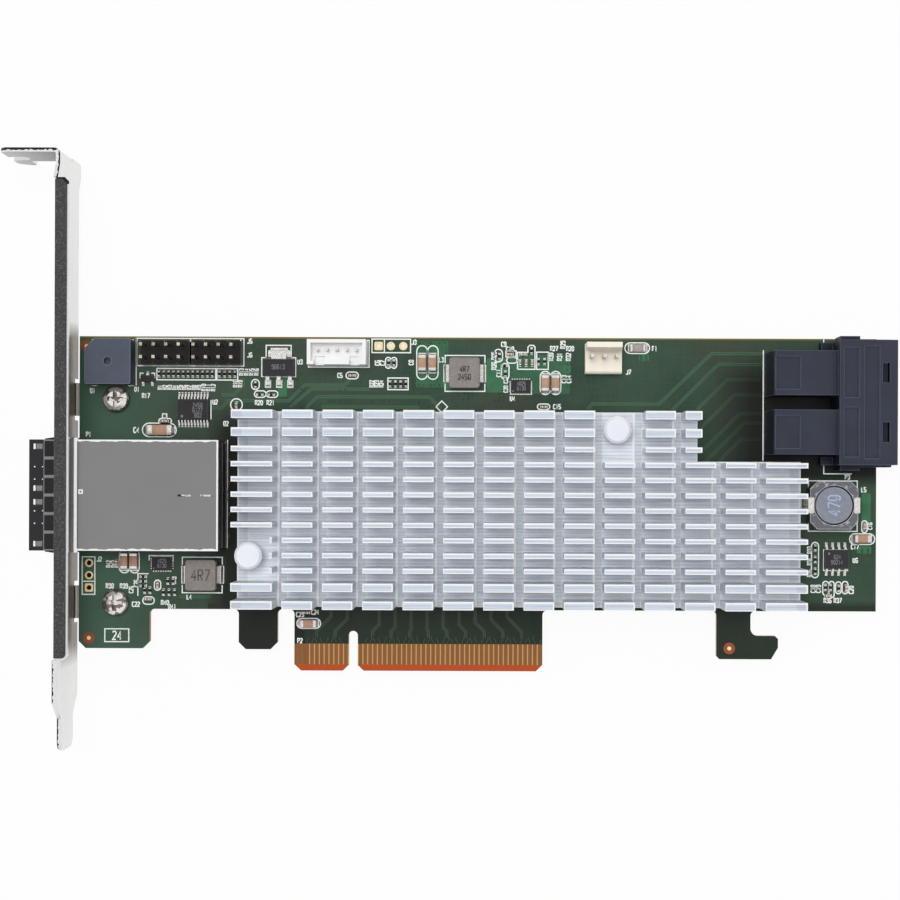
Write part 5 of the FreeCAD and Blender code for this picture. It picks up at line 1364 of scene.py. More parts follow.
@dataclass
class Legend:
    """White print on the board's face: outlines round the parts and their designators."""

    line: float = 0.24
    boldness: float = 0.25
    boldest: float = 0.27
    low: float = -0.02
    high: float = 0.03
    boxes: tuple[Rect, ...] = (
        (-44.9, -22.8, 62.85, 68.5), (-40.75, -28.6, 59.95, 62.3),
        (-28.35, -24.05, 59.95, 62.3), (-19.1, -12.1, 60.7, 64.6), (-18.2, -13.05, 64.65, 67.15),
        (3.65, 11.6, 65.73, 68.52), (6.95, 11.15, 58.1, 60.5),
        (-9.45, 3.05, 62.7, 68.25), (93.87, 103.95, 29.2, 39.6), (97.06, 102.0, 21.1, 25.35),
        (-56.0, -53.4, 15.6, 23.35), (-51.3, -46.35, 5.85, 8.5), (37.65, 40.05, 62.4, 65.95),
        (31.3, 33.4, 64.95, 66.2),
    )
    capsules: tuple[Rect, ...] = (
        (-40.3, -37.7, 51.0, 51.95), (-43.7, -36.7, 48.2, 51.0), (12.9, 15.1, 60.25, 67.2),
        (15.15, 17.3, 60.25, 67.2), (6.45, 7.6, 62.5, 64.75), (7.65, 8.75, 62.5, 64.75),
        (-1.7, 0.85, 60.3, 61.7), (38.4, 40.5, 57.2, 62.0), (40.55, 42.65, 57.2, 62.0),
        (37.85, 40.4, 54.1, 55.25), (55.85, 60.95, 65.75, 67.95), (104.9, 106.0, 28.95, 31.4),
        (102.4, 107.6, 26.5, 28.7), (96.9, 98.1, 15.95, 18.85), (98.2, 99.25, 15.5, 18.85),
        (99.55, 100.7, 16.3, 18.75), (100.9, 102.1, 16.3, 18.85), (-11.65, -6.75, 8.75, 10.8),
        (-43.5, -41.1, 13.6, 15.15), (-41.1, -39.8, 16.5, 18.6), (-48.35, -46.25, 20.05, 24.7),
        (-46.2, -44.25, 20.05, 24.7), (94.55, 96.0, 19.6, 26.9), (-25.5, -23.1, 53.6, 56.1),
        (-21.2, -19.6, 58.0, 60.1), (-20.6, -18.2, 56.4, 57.75), (-18.15, -15.75, 56.4, 57.75),
        (31.45, 33.6, 63.65, 64.85), (30.4, 31.95, 60.3, 63.6), (28.9, 30.6, 63.9, 66.5),
    )
    lines: tuple[Path, ...] = (
        ((-45.0, 58.8), (-45.0, 68.5)), ((-29.55, 51.8), (-29.55, 55.8)),
        ((-44.2, 60.2), (-44.2, 61.3), (-43.5, 61.3)), ((-41.9, 61.3), (-41.2, 61.3), (-41.2, 60.2)),
        ((18.76, 63.6), (18.76, 65.2), (26.97, 65.2), (26.97, 63.6)),
        ((18.76, 59.4), (18.76, 57.8), (26.97, 57.8), (26.97, 59.4)),
        ((-35.35, 21.8), (-35.35, 23.35), (-27.1, 23.35), (-27.1, 21.8)),
        ((-35.35, 17.6), (-35.35, 16.0), (-27.1, 16.0), (-27.1, 17.6)),
        ((84.45, 66.5), (84.45, 43.7)), ((97.0, 43.7), (97.0, 41.05), (102.8, 41.05)),
        ((96.9, 69.0), (96.9, 66.6)), ((-26.1, 25.3), (-26.1, 47.6)),
        ((16.9, 54.6), (18.1, 55.8), (19.3, 54.6), (18.1, 53.4), (16.9, 54.6)),
        ((-42.2, 22.6), (-42.2, 23.65), (-37.25, 23.65), (-37.25, 22.6)),
        ((32.3, 59.6), (32.3, 57.25), (36.6, 57.25), (36.6, 59.6)),
        ((-44.5, 15.3), (-44.5, 19.9), (-42.3, 19.9)), ((-56.0, 18.3), (-53.4, 18.3)),
        ((6.2, 65.8), (6.2, 68.4)),
        ((-33.8, 62.9), (-33.8, 68.4)), ((-23.45, 62.9), (-23.45, 68.4)),
        ((33.7, 62.4), (33.7, 65.9), (35.85, 65.9), (35.85, 67.0), (36.2, 67.35), (37.0, 67.35), (37.3, 67.0),
         (37.3, 62.4), (33.7, 62.4)),
    )
    labels: tuple[LabelRow, ...] = (
        LabelRow("R", 1, -40.1, 58.4, 1.0, 0, 12, True, 0.8),
        LabelRow("R", 13, -23.3, 61.65, 1.04, 0, 4, True, 0.8), LabelRow("B", 1, -54.0, 57.65),
        LabelRow("P", 1, -54.8, 48.65), LabelRow("Q", 1, -44.85, 57.95), LabelRow("R", 17, -43.0, 56.65),
        LabelRow("U", 2, -28.7, 55.4), LabelRow("C", 3, -39.1, 52.5),
        LabelRow("C", 4, -44.95, 49.55, height=1.05), LabelRow("J", 5, -21.6, 68.0),
        LabelRow("J", 6, -21.6, 65.15), LabelRow("Q", 2, -26.45, 50.95),
        LabelRow("R", 18, -24.55, 59.2, 1.0, 0, 2, True, 0.8), LabelRow("R", 20, -19.65, 55.3, 2.4, 0, 2),
        LabelRow("U", 3, -11.2, 63.75), LabelRow("J", 3, 12.3, 67.9), LabelRow("C", 5, -2.95, 61.0),
        LabelRow("C", 6, 4.75, 63.6, 1.1, 0, 2, True), LabelRow("C", 8, 11.75, 63.7, 0, 0, 1, True),
        LabelRow("R", 22, 3.6, 59.3, 1.0, 0, 3, True, 0.8), LabelRow("L", 3, 17.95, 64.3),
        LabelRow("C", 9, 30.85, 67.55, 1.3, -1.0, 2), LabelRow("R", 25, 28.85, 65.2, 0, -2.1, 2, True),
        LabelRow("C", 11, 29.85, 61.6, 0, 0, 1, True), LabelRow("R", 27, 41.25, 66.7, 3.3, 0, 2),
        LabelRow("R", 29, 43.05, 67.5, 0, 0, 1, True), LabelRow("R", 30, 40.6, 65.0, 1.8, 0, 3, True),
        LabelRow("U", 4, 32.7, 56.35), LabelRow("C", 13, 43.3, 60.4, 1.0, 0, 2, True),
        LabelRow("C", 15, 41.9, 54.7), LabelRow("F", 1, 62.0, 66.75), LabelRow("J", 7, 56.6, 61.9),
        LabelRow("L", 5, 105.3, 37.8), LabelRow("C", 16, 106.6, 30.3, 0, 0, 1, True, 0.8),
        LabelRow("C", 17, 103.5, 26.0), LabelRow("U", 6, 103.6, 23.2),
        LabelRow("R", 33, 94.1, 25.3, 0, -2.4, 3, True, 0.8),
        LabelRow("C", 18, 94.9, 17.3, 1.1, 0, 2, True), LabelRow("R", 36, 97.9, 14.9, 2.1, 0, 2),
        LabelRow("C", 20, 102.75, 17.1, 0, 0, 1, True), LabelRow("J", 2, -52.5, 22.9),
        LabelRow("R", 38, -50.3, 17.35, 2.9, 0, 2), LabelRow("C", 22, -44.9, 13.6),
        LabelRow("L", 4, -33.9, 15.15), LabelRow("R", 40, -38.9, 13.95, 1.5, -0.85, 2),
        LabelRow("R", 42, -50.6, 21.9, 1.0, 0, 3, True, 0.8), LabelRow("P", 2, -11.0, 6.2),
        LabelRow("C", 23, -11.0, 11.6, 3.1, 0.5, 2), LabelRow("P", 3, 101.9, 40.4),
        LabelRow("R", 45, -26.8, 37.1, 0, -1.6, 2), LabelRow("C", 25, -45.9, 16.6, 1.0, 1.3, 2, True, 0.8),
        LabelRow("", 24, -48.8, 7.15, height=1.7), LabelRow("R", 47, -37.9, 21.2, 0.9, -2.6, 2, True, 0.8),
        LabelRow("C", 27, 31.3, 60.2, 0, -1.9, 2, True, 0.8),
    )

    def build(self) -> None:
        """Makes the outlines and the designators."""
        ink = INK.make()
        low, high = FACE + self.low, FACE + self.high
        outlines = Shape()
        for box in self.boxes:
            outlines.strip(corners(*box), self.line, low, high, closed=True)
        for box in self.capsules:
            outlines.strip(capsule(*box), self.line, low, high, closed=True)
        for path in self.lines:
            outlines.strip(np.array(path, float), self.line, low, high)
        make_piece("legend_outlines", outlines, ink, 0)
        words = Shape()
        for row in self.labels:
            stroke = min(row.height * self.boldness, self.boldest)
            for k in range(row.count):
                text = f"{row.letter}{row.first + k}"
                x, y = row.x + k * row.step_x, row.y + k * row.step_y
                for path in glyph_paths(text, x, y, row.height, row.upright):
                    words.strip(path, stroke, low, high)
        make_piece("legend_designators", words, ink, 0)


@dataclass
class BoardCopper:
    """Copper that shows on the board's face: masked traces and fields, vias, fiducials and bare pads."""

    pair_gap: float = 0.38
    trace: float = 0.26
    trace_rise: float = 0.012
    flood_rise: float = 0.008
    sunk: float = 0.02
    pad_rise: float = 0.025
    via_inner: float = 0.13
    via_outer: float = 0.25
    fan_pitch: float = 3.85
    fan_count: int = 12
    fan_left: float = -7.6
    fan_lean: float = 0.55
    fan_heights: tuple[float, float, float] = (6.9, 8.2, 15.0)
    notch_room: float = 1.6
    hole: float = 0.5
    pad: float = 0.86
    pairs: tuple[Path, ...] = (
        ((84.4, 65.8), (73.8, 65.8), (62.9, 55.3), (49.2, 55.3), (48.1, 54.2)),
        ((84.4, 63.6), (75.2, 63.6), (65.6, 54.0)), ((83.8, 60.4), (77.0, 60.4), (70.8, 54.2)),
        ((84.2, 57.3), (78.5, 57.3), (71.6, 50.4)), ((84.4, 53.4), (79.6, 53.4), (72.1, 45.9)),
        ((84.4, 51.5), (80.6, 51.5), (72.4, 43.3)), ((84.0, 48.1), (79.9, 48.1), (75.4, 43.6)),
        ((-29.4, 54.2), (-27.4, 54.2), (-26.0, 55.7), (-13.5, 55.7), (-10.2, 59.0), (-2.0, 59.0),
         (-0.8, 60.2)),
        ((-13.3, 54.3), (-8.9, 58.2), (3.2, 58.2)), ((-10.0, 54.2), (-7.6, 56.6), (15.5, 56.6), (17.9, 54.2)),
        ((-6.8, 54.5), (13.5, 54.5)), ((-27.4, 56.9), (-24.9, 56.9), (-22.9, 58.9), (-22.9, 60.3)),
        ((62.5, 45.8), (60.0, 43.3)), ((-36.0, 15.2), (-30.0, 15.2), (-26.6, 18.6), (-26.6, 23.9)),
    )
    floods: tuple[Rect, ...] = (
        (27.3, 31.8, 57.6, 64.6), (104.85, 106.75, 30.1, 37.1),
        (58.7, 60.85, 64.2, 65.5), (18.4, 19.9, 58.2, 61.9), (43.0, 44.7, 61.6, 63.3),
        (-15.7, -13.9, 56.6, 61.8), (103.9, 106.9, 24.6, 26.1),
    )
    flood_round: float = 0.3
    edge_via_pitch: float = 1.1
    edge_via_inset: float = 0.5
    edge_via: tuple[float, float] = (0.06, 0.16)
    pale_floods: tuple[Rect, ...] = ((12.7, 19.4, 58.6, 68.2), (32.0, 44.5, 57.4, 65.4))
    stub: float = 0.16
    stub_lean: float = 0.32
    stub_heights: tuple[float, float, float, float] = (5.6, 6.1, 6.55, 6.75)
    stub_rows: tuple[tuple[float, float], ...] = ((-9.5, -2.5), (2.5, 38.5))
    vias: tuple[Point, ...] = (
        (-10.53, 57.95), (-2.89, 57.8), (-1.89, 57.98), (-5.14, 55.62), (-4.26, 55.62), (-3.0, 55.55),
        (-1.76, 55.55), (3.5, 55.7), (6.13, 55.66), (7.25, 55.66), (13.39, 55.36), (14.52, 55.37),
        (15.47, 54.54), (13.59, 67.76), (15.85, 67.76), (12.5, 58.94), (15.88, 58.95), (21.59, 56.86),
        (22.82, 57.2), (23.6, 57.21), (24.38, 57.21), (22.48, 56.08), (23.6, 56.42), (30.1, 57.34),
        (30.77, 57.35), (29.99, 56.67), (30.88, 56.67), (29.09, 55.88), (29.99, 55.89), (30.89, 55.89),
        (59.2, 65.1), (60.3, 65.1), (59.2, 64.5), (60.3, 64.5), (-46.4, 56.3), (-20.7, 67.0), (-19.9, 66.2),
        (-20.7, 65.2), (-20.0, 64.2), (-19.8, 62.9), (-11.6, 60.2), (-11.0, 61.3), (-11.0, 58.2),
        (96.0, 28.9), (97.4, 27.6), (98.2, 28.3), (105.0, 25.4), (106.2, 25.4), (105.0, 24.9), (106.2, 24.9),
    )
    cage_vias: tuple[Point, ...] = ((-25.9, 43.4), (-25.9, 38.8), (-25.9, 32.3), (-25.9, 27.8))
    fiducials: tuple[Point, ...] = ((-54.61, 6.6), (77.64, 4.92), (-55.3, 66.9))
    clearing: float = 1.2
    dot: float = 0.44
    dot_top: float = 0.4
    jumper_x: Row = (5.0, 7.55, 10.1)
    jumper_y: float = 67.1
    lower_x: float = -54.6
    lower_ys: Row = (22.1, 19.55, 17.0)

    def build(self) -> None:
        """Makes each kind of copper as one piece."""
        self.make_traces()
        self.make_floods()
        self.make_stubs()
        self.make_vias()
        self.make_fiducials()
        self.make_jumper_pads()

    def make_traces(self) -> None:
        """Pairs of thin traces, each a path moved sideways by half the gap, and the fan above the fingers."""
        low, high = FACE - self.sunk, FACE + self.trace_rise
        paths = [np.array(path, float) for path in self.pairs]
        fan = []
        middle = (self.fan_count - 1) / 2
        places = [self.fan_left + k * self.fan_pitch for k in range(self.fan_count)]
        for k, x in enumerate(places):
            if abs(x) < self.notch_room:
                continue
            lean = (middle - k) * self.fan_lean
            foot, knee, top = self.fan_heights
            fan.append(np.array([(x, foot), (x, knee), (x + lean, knee + abs(lean)), (x + lean, top)]))
        for name, runs, finish in (("masked_traces", paths, TraceFinish()), ("masked_fan", fan, MASKED_STUB)):
            traces = Shape()
            for path in runs:
                for side in (-1, 1):
                    traces.strip(self.beside(path, side * self.pair_gap / 2), self.trace, low, high)
            make_piece(name, traces, finish.make(), 0)

    def beside(self, path: np.ndarray, shift: float) -> np.ndarray:
        """Path moved to its left by a shift, with its corners mitred.

        Args:
            path: points (x, y).
            shift: distance.

        Returns:
            The moved path.
        """
        runs = np.diff(path, axis=0)
        runs = runs / np.maximum(np.linalg.norm(runs, axis=1), 1e-6)[:, None]
        normals = np.column_stack([-runs[:, 1], runs[:, 0]])
        after = np.vstack([normals, normals[-1:]])
        before = np.vstack([normals[:1], normals])
        mean = after + before
        mean /= (mean * after).sum(axis=1)[:, None]
        return path + mean * shift

    def make_floods(self) -> None:
        """Bright fields of copper under the mask, and paler ones with vias along their edges."""
        low = FACE - self.sunk
        fields = Shape()
        for box in self.floods:
            fields.prism(loop_box(*box, self.flood_round), low, FACE + self.flood_rise)
        make_piece("masked_fields", fields, MASKED_FLOOD.make(), 0)
        pale, dots = Shape(), Shape()
        inset, pitch = self.edge_via_inset, self.edge_via_pitch
        for x0, x1, y0, y1 in self.pale_floods:
            pale.prism(loop_box(x0, x1, y0, y1, self.flood_round), low, FACE + self.flood_rise / 2)
            left, right, foot, top = x0 + inset, x1 - inset, y0 + inset, y1 - inset
            places = [(x, y) for x in np.arange(left, x1 - 0.3, pitch) for y in (foot, top)]
            places += [(x, y) for y in np.arange(foot + pitch, top - 0.5, pitch) for x in (left, right)]
            for x, y in places:
                dots.washer(x, y, *self.edge_via, low, FACE + self.pad_rise, 8)
        make_piece("masked_pale_fields", pale, PALE_FLOOD.make(), 0)
        make_piece("field_vias", dots, MASKED_VIA.make(), 0)

    def make_stubs(self) -> None:
        """Short traces that leave the contacts, each with a slanted end."""
        stubs = Shape()
        low, high = FACE - self.sunk, FACE + self.trace_rise
        for first, last in self.stub_rows:
            for k, x in enumerate(np.arange(first, last + 0.01, 1.0)):
                across = x + (self.stub_lean if k % 4 < 2 else -self.stub_lean)
                foot, knee, shoulder, top = self.stub_heights
                path = [(x, foot), (x, knee), (across, shoulder), (across, top + 0.25 * (k % 3))]
                stubs.strip(np.array(path), self.stub, low, high)
        make_piece("contact_stubs", stubs, MASKED_STUB.make(), 0)

    def make_vias(self) -> None:
        """Tented vias as low rings, and four bare ones behind the cage."""
        low, high = FACE - self.sunk, FACE + self.pad_rise
        tented = Shape()
        for x, y in self.vias:
            tented.washer(x, y, self.via_inner, self.via_outer, low, high, 10)
        make_piece("tented_vias", tented, MASKED_VIA.make(), 0)
        bare = Shape()
        for x, y in self.cage_vias:
            bare.washer(x, y, self.via_inner * 1.4, self.via_outer * 1.3, low, high, 16)
        make_piece("bare_vias", bare, BARE_LAMINATE.make(), 0)

    def make_fiducials(self) -> None:
        """Gold dots in rounds that are free of mask."""
        rings, dots = Shape(), Shape()
        low = FACE - self.sunk
        for x, y in self.fiducials:
            rings.disc(x, y, self.clearing, low, FACE + 0.006, 32)
            dots.disc(x, y, self.dot, low, FACE + 0.03, 24, self.dot_top)
        make_piece("fiducial_clearings", rings, BARE_LAMINATE.make(), 0)
        make_piece("fiducial_dots", dots, PAD_GOLD.make(), 0)

    def make_jumper_pads(self) -> None:
        """Gold rings round the jumper holes on both faces, a square one in each row; solder in the upper
        holes, painted shade in the lower.
        """
        pads = Shape()
        for low, high in ((FACE - self.sunk, FACE + self.pad_rise), (BACK - self.pad_rise, BACK + self.sunk)):
            for k, x in enumerate(self.jumper_x):
                pads.washer(x, self.jumper_y, self.hole, self.pad, low, high, 28, square=k == 0)
            for k, y in enumerate(self.lower_ys):
                pads.washer(self.lower_x, y, self.hole, self.pad, low, high, 28, square=k == 2)
        make_piece("jumper_pads", pads, PAD_GOLD.make(), 40)
        reach = self.hole - 0.005
        dark, pale = Shape(), Shape()
        # Painted shade: a dark disc in each lower hole
        for y in self.lower_ys:
            dark.disc(self.lower_x, y, reach, BACK + 0.2, 0, 20)
        low = BACK + 0.05
        crowned = np.array([(ON_AXIS, low), (reach, low), (reach, FACE - 0.12), (ON_AXIS, FACE - 0.04)])
        for x in self.jumper_x:
            pale.turned(crowned, x, self.jumper_y, 20)
        make_piece("jumper_hole_painted_shade", dark, PAINTED_HOLE_SHADE.make(), 40)
        make_piece("jumper_hole_solder", pale, HOLE_SOLDER.make(), 40)


class Axis(Enum):
    """Direction along a chip part."""

    X = 0
    Y = 1


@dataclass
class ChipKind:
    """Rounded bodies and ends in place of one kind's plain blocks, with solder at each end."""

    name: str
    bodies: str
    ends: str
    body_finish: str
    end_finish: str = "solder_metal"
    body_inset: float = 0.03
    body_round: float = 0.08
    end_round: float = 0.12
    reach: float = 0.4
    rise: float = 0.62
    lap: float = 0.0

    def build(self, finishes: dict[str, Material], solder: Shape) -> None:
        """Makes bodies and ends, and adds each end's fillet and pad to the solder.

        Args:
            finishes: material of each slot.
            solder: where the solder goes.
        """
        blocks, caps = node_solids(self.bodies), node_solids(self.ends)
        bodies, ends = Shape(), Shape()
        for box in blocks:
            inset = np.array([0, 0, self.body_inset])
            bodies.rounded_box(Box(box.low, box.high - inset), self.body_round, 1)
        middles = np.array([b.centre[:2] for b in blocks])
        for box in caps:
            away = box.centre[:2] - middles
            away = away[np.argmin(np.linalg.norm(away, axis=1))]
            axis = int(abs(away[1]) > abs(away[0]))
            low, high = box.low.copy(), box.high.copy()
            if away[axis] > 0:
                low[axis] -= self.lap
            else:
                high[axis] += self.lap
            ends.rounded_box(Box(low, high), self.end_round, 2)
            solder_end(solder, box, away, self.reach, self.rise * box.size[2])
        work = (("bodies", bodies, self.body_finish, self.bodies), ("ends", ends, self.end_finish, self.ends))
        for kind, shape, slot, node in work:
            piece = make_piece(f"{self.name}_{kind}_rounded", shape, finishes[slot], 50)
            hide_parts(node)


PAD_SOLDER = 0.035  # thickness of the solder that lies flat on a pad


def solder_end(solder: Shape, box: Box, away: np.ndarray, reach: float, rise: float) -> None:
    """Concave solder fillet that climbs a part's end, on its pad.

    At a share s of the reach the fillet's height is the rise times (1 - s) cubed; towards the two sides
    the reach and the rise shrink, so that the foot is round.

    Args:
        solder: where the fillet goes.
        box: the end's box.
        away: direction from the part's middle to this end.
        reach: how far the fillet runs out.
        rise: how high it climbs.
    """
    axis = Axis.X if abs(away[0]) > abs(away[1]) else Axis.Y
    sign = 1.0 if away[axis.value] > 0 else -1.0
    wall = box.high[axis.value] if sign > 0 else box.low[axis.value]
    other = 1 - axis.value
    half = box.size[other] / 2
    share = np.linspace(0, 1, 5)
    across = np.array([-1.0, -0.82, 0.82, 1.0])
    scale = np.array([0.35, 1.0, 1.0, 0.35])[:, None]
    out = np.concatenate([share, [1.0, -0.08 / reach]])[None, :] * reach * (0.55 + 0.45 * scale)
    height = np.concatenate([(1 - share) ** 3, [0.0, 0.0]])[None, :] * rise * scale
    rings = np.zeros((4, 7, 3))
    rings[..., axis.value] = wall + sign * (out - 0.02)
    rings[..., other] = box.centre[other] + (across * (half + 0.05))[:, None]
    rings[..., 2] = FACE + height
    rings[:, :5, 2] += PAD_SOLDER
    rings[:, 5:, 2] = FACE - BITE
    solder.rings(rings)


@dataclass
class Leads:
    """Solder feet under the leads of one packaged part."""

    leads: str
    body: str
    reach: float = 0.32
    rise: float = 0.16
    side: float = 0.06
    under: float = 0.75
    axis: Axis | None = None

    def build(self, solder: Shape) -> None:
        """Adds a pad and a fillet at the tip of each lead.

        Args:
            solder: where the solder goes.
        """
        middle = node_box(self.body).centre[:2]
        for box in node_solids(self.leads):
            away = box.centre[:2] - middle
            if self.axis:
                away = away * np.array([self.axis is Axis.X, self.axis is Axis.Y])
            elif box.size[0] > box.size[1]:
                away = away * np.array([1, 0])
            else:
                away = away * np.array([0, 1])
            solder_end(solder, box, away, self.reach, self.rise)
            axis = 0 if away[0] else 1
            sign = 1.0 if away[axis] > 0 else -1.0
            tip = box.high[axis] if sign > 0 else box.low[axis]
            low, high = box.low.copy(), box.high.copy()
            low[1 - axis] -= self.side
            high[1 - axis] += self.side
            ends = sorted((tip - sign * self.under, tip + sign * self.reach))
            low[axis], high[axis] = ends
            solder.slab(low[0], high[0], low[1], high[1], FACE - BITE, FACE + 0.04)


@dataclass
class PinJoints:
    """Solder cones round the tails of pins behind the board."""

    foot: float = 0.82
    neck: float = 0.36
    height: float = 0.75
    nodes: tuple[str, ...] = (
        "activity_header_pins", "fault_header_pins", "data_connector_pins", "fan_connector_pins",
    )

    def build(self, finishes: dict[str, Material]) -> None:
        """Makes one concave cone for each pin: its radius falls with the square of the height left.

        Args:
            finishes: material of each slot.
        """
        joints = Shape()
        share = np.linspace(0, 1, 5)
        radius = self.neck + (self.foot - self.neck) * (1 - share) ** 2
        profile = np.column_stack([radius, BACK - share * self.height])
        sunk = BACK + 2 * BITE
        profile = np.vstack([[ON_AXIS, sunk], [self.foot, sunk], profile, [ON_AXIS, BACK - self.height]])
        for node in self.nodes:
            for box in node_solids(node):
                joints.turned(profile[::-1], box.centre[0], box.centre[1], 12)
        make_piece("pin_solder_joints", joints, finishes["solder_metal"], 40)


@dataclass
class PowerChipPads:
    """Solder tips that show round the leadless power chips."""

    pitch: float = 0.5
    width: float = 0.24
    out: float = 0.3
    under: float = 0.1
    rise: float = 0.1
    corner_room: float = 0.5
    chips: tuple[str, ...] = ("power_chip_upper", "power_chip_lower")

    def build(self, solder: Shape) -> None:
        """Adds a row of tips on each side.

        Args:
            solder: where the solder goes.
        """
        for chip in self.chips:
            box = node_box(chip)
            for axis in (0, 1):
                other = 1 - axis
                count = int((box.size[other] - self.corner_room) / self.pitch) + 1
                start = box.centre[other] - (count - 1) * self.pitch / 2
                for wall, sign in ((box.low[axis], -1), (box.high[axis], 1)):
                    for k in range(count):
                        place = start + k * self.pitch
                        ends = sorted((wall - sign * self.under, wall + sign * self.out))
                        sides = (place - self.width / 2, place + self.width / 2)
                        x, y = (ends, sides) if axis == 0 else (sides, ends)
                        solder.slab(*x, *y, FACE - BITE, FACE + self.rise)


@dataclass
class HeatsinkEdges:
    """Burrs that the cross cuts leave along the channel floors, white as a painted highlight."""

    base: float = 2.0
    width: float = 0.48
    height: float = 0.6
    inset: float = 0.3
    notch_x: float = 70.0
    notch_y: float = 42.0

    def build(self) -> None:
        """Makes one low ridge along the left side of each cut, white as a painted highlight."""
        sink = node_box("heatsink")
        ridges = Shape()
        floor = sink.low[2] + self.base
        foot = sink.low[1] + self.inset
        for k in range(CUTS.count):
            x = sink.low[0] + CUTS.first + k * CUTS.pitch - CUTS.width / 2
            top = (self.notch_y if x > self.notch_x else sink.high[1]) - self.inset
            ridges.slab(x, x + self.width, foot, top, floor - 2 * BITE, floor + self.height)
        make_piece("heatsink_burrs", ridges, GLINT.make(), 0)


@dataclass
class CrownHighlights:
    """Painted highlights: white strips round the top of each fin."""

    upper: float = 0.34
    lower: float = 0.2
    end: float = 0.26
    rise: float = 0.02
    shortest: float = 1.5

    def build(self) -> None:
        """Makes a painted highlight along the upper and lower edge of every crown, and along a longer one's
        right end.
        """
        top = node_box("heatsink").high[2]
        low, high = top - BITE, top + self.rise
        lines = Shape()
        for box in node_solids("heatsink", top):
            (x0, y0), (x1, y1) = box.low[:2], box.high[:2]
            lines.slab(x0, x1, y1 - self.upper, y1, low, high)
            lines.slab(x0, x1, y0, y0 + self.lower, low, high)
            if x1 - x0 > self.shortest:
                lines.slab(x1 - self.end, x1, y0 + self.lower, y1 - self.upper, low, high)
        make_piece("heatsink_crown_painted_highlights", lines, GLINT.make(), 0)


@dataclass
class CageFolds:
    """Pressed ledges on the cage's back wall, edged with painted highlights, and the square punch mark on its
    top, white as a painted highlight.
    """

    heights: Row = (7.3, 2.5)
    depth: float = 0.28
    thickness: float = 0.3
    inset: float = 0.9
    plate_below: float = 0.35
    mark: Point = (-53.9, 36.85)
    mark_inner: float = 0.22
    mark_outer: float = 0.46

    def build(self) -> None:
        """Makes one rounded ledge at each height, and the mark."""
        cage = node_box("external_port_cage")
        folds = Shape()
        wall = cage.high[0]
        for z in self.heights:
            low = np.array([wall - 0.05, cage.low[1] + self.inset, z - self.thickness / 2])
            high = np.array([wall + self.depth, cage.high[1] - self.inset, z + self.thickness / 2])
            folds.rounded_box(Box(low, high), 0.1, 2)
        make_piece("cage_back_ledges", folds, CAGE_LEDGE.make(), 40)
        mark, plate = Shape(), cage.high[2] - self.plate_below
        sizes = (self.mark_inner, self.mark_outer, plate - BITE, plate + 0.03, 24)
        mark.washer(*self.mark, *sizes, square=True)
        make_piece("cage_punch_mark", mark, GLINT.make(), 0)


@dataclass(frozen=True)
class Mark:
    """Number on top of a part; x and y are from the part's middle."""

    body: str
    text: str
    x: float = 0.0
    y: float = 0.0
    height: float = 0.75
    upright: bool = False


@dataclass
class Markings:
    """Plain numbers and a dot for the first pin, printed on the larger parts."""

    rise: float = 0.02
    grey: tuple[Mark, ...] = (
        Mark("buffer_chip_body", "2450", 1.0, 0.9, 0.85), Mark("buffer_chip_body", "6127", 1.0, -0.15, 0.85),
        Mark("buffer_chip_body", "802", 1.1, -1.2, 0.85), Mark("memory_chip_body", "624", 0.1, 0.5, 0.8),
        Mark("memory_chip_body", "90214", 0.0, -0.6, 0.8), Mark("regulator_body", "90613", 0.0, 0.1, 0.9),
        Mark("power_chip_upper", "4025", 0.1, 0.6), Mark("power_chip_upper", "6130", 0.1, -0.4),
        Mark("power_chip_lower", "4025", 0.1, 0.6), Mark("power_chip_lower", "6130", 0.1, -0.4),
    )
    dark: tuple[Mark, ...] = (
        Mark("inductor_upper_core", "4R7", 0.0, 0.7, 1.1),
        Mark("inductor_upper_core", "2450", 0.0, -0.9, 1.1),
        Mark("inductor_lower_core", "4R7", height=2.2),
    )
    blue: tuple[Mark, ...] = (Mark("drum_inductor_core", "470", height=2.4, upright=True),)
    grey_stroke: float = 0.13
    dark_stroke: float = 0.26
    blue_stroke: float = 0.3
    dots: tuple[tuple[str, float, float, float], ...] = (
        ("buffer_chip_body", -2.2, -1.4, 0.28), ("memory_chip_body", -1.6, 1.2, 0.24),
        ("power_chip_upper", -1.6, -0.95, 0.16), ("power_chip_lower", -1.6, -0.95, 0.16),
    )

    def build(self) -> None:
        """Makes the numbers on top of each body, the coils' ones bolder, and the grey dots."""
        self.make_numbers(self.grey, MARK_GREY, self.grey_stroke, self.dots)
        self.make_numbers(self.dark, MARK_DARK, self.dark_stroke)
        self.make_numbers(self.blue, MARK_BLUE, self.blue_stroke)

    def make_numbers(
        self, marks: tuple[Mark, ...], finish: Finish, stroke: float,
        dots: tuple[tuple[str, float, float, float], ...] = (),
    ) -> None:
        """One piece with the numbers and dots of one colour.

        Args:
            marks: the numbers.
            finish: their finish, which names the piece.
            stroke: width of their strokes.
            dots: node, place from the node's middle, and radius of each dot.
        """
        work = Shape()
        for mark in marks:
            box = node_box(mark.body)
            x, y, top = box.centre[0] + mark.x, box.centre[1] + mark.y, box.high[2]
            for path in glyph_paths(mark.text, x, y, mark.height, mark.upright):
                work.strip(path, stroke, top - BITE, top + self.rise)
        for body, x, y, radius in dots:
            box = node_box(body)
            top = box.high[2]
            work.disc(box.centre[0] + x, box.centre[1] + y, radius, top - BITE, top + self.rise / 2, 16)
        make_piece(f"{finish.name}_numbers", work, finish.make(), 0)


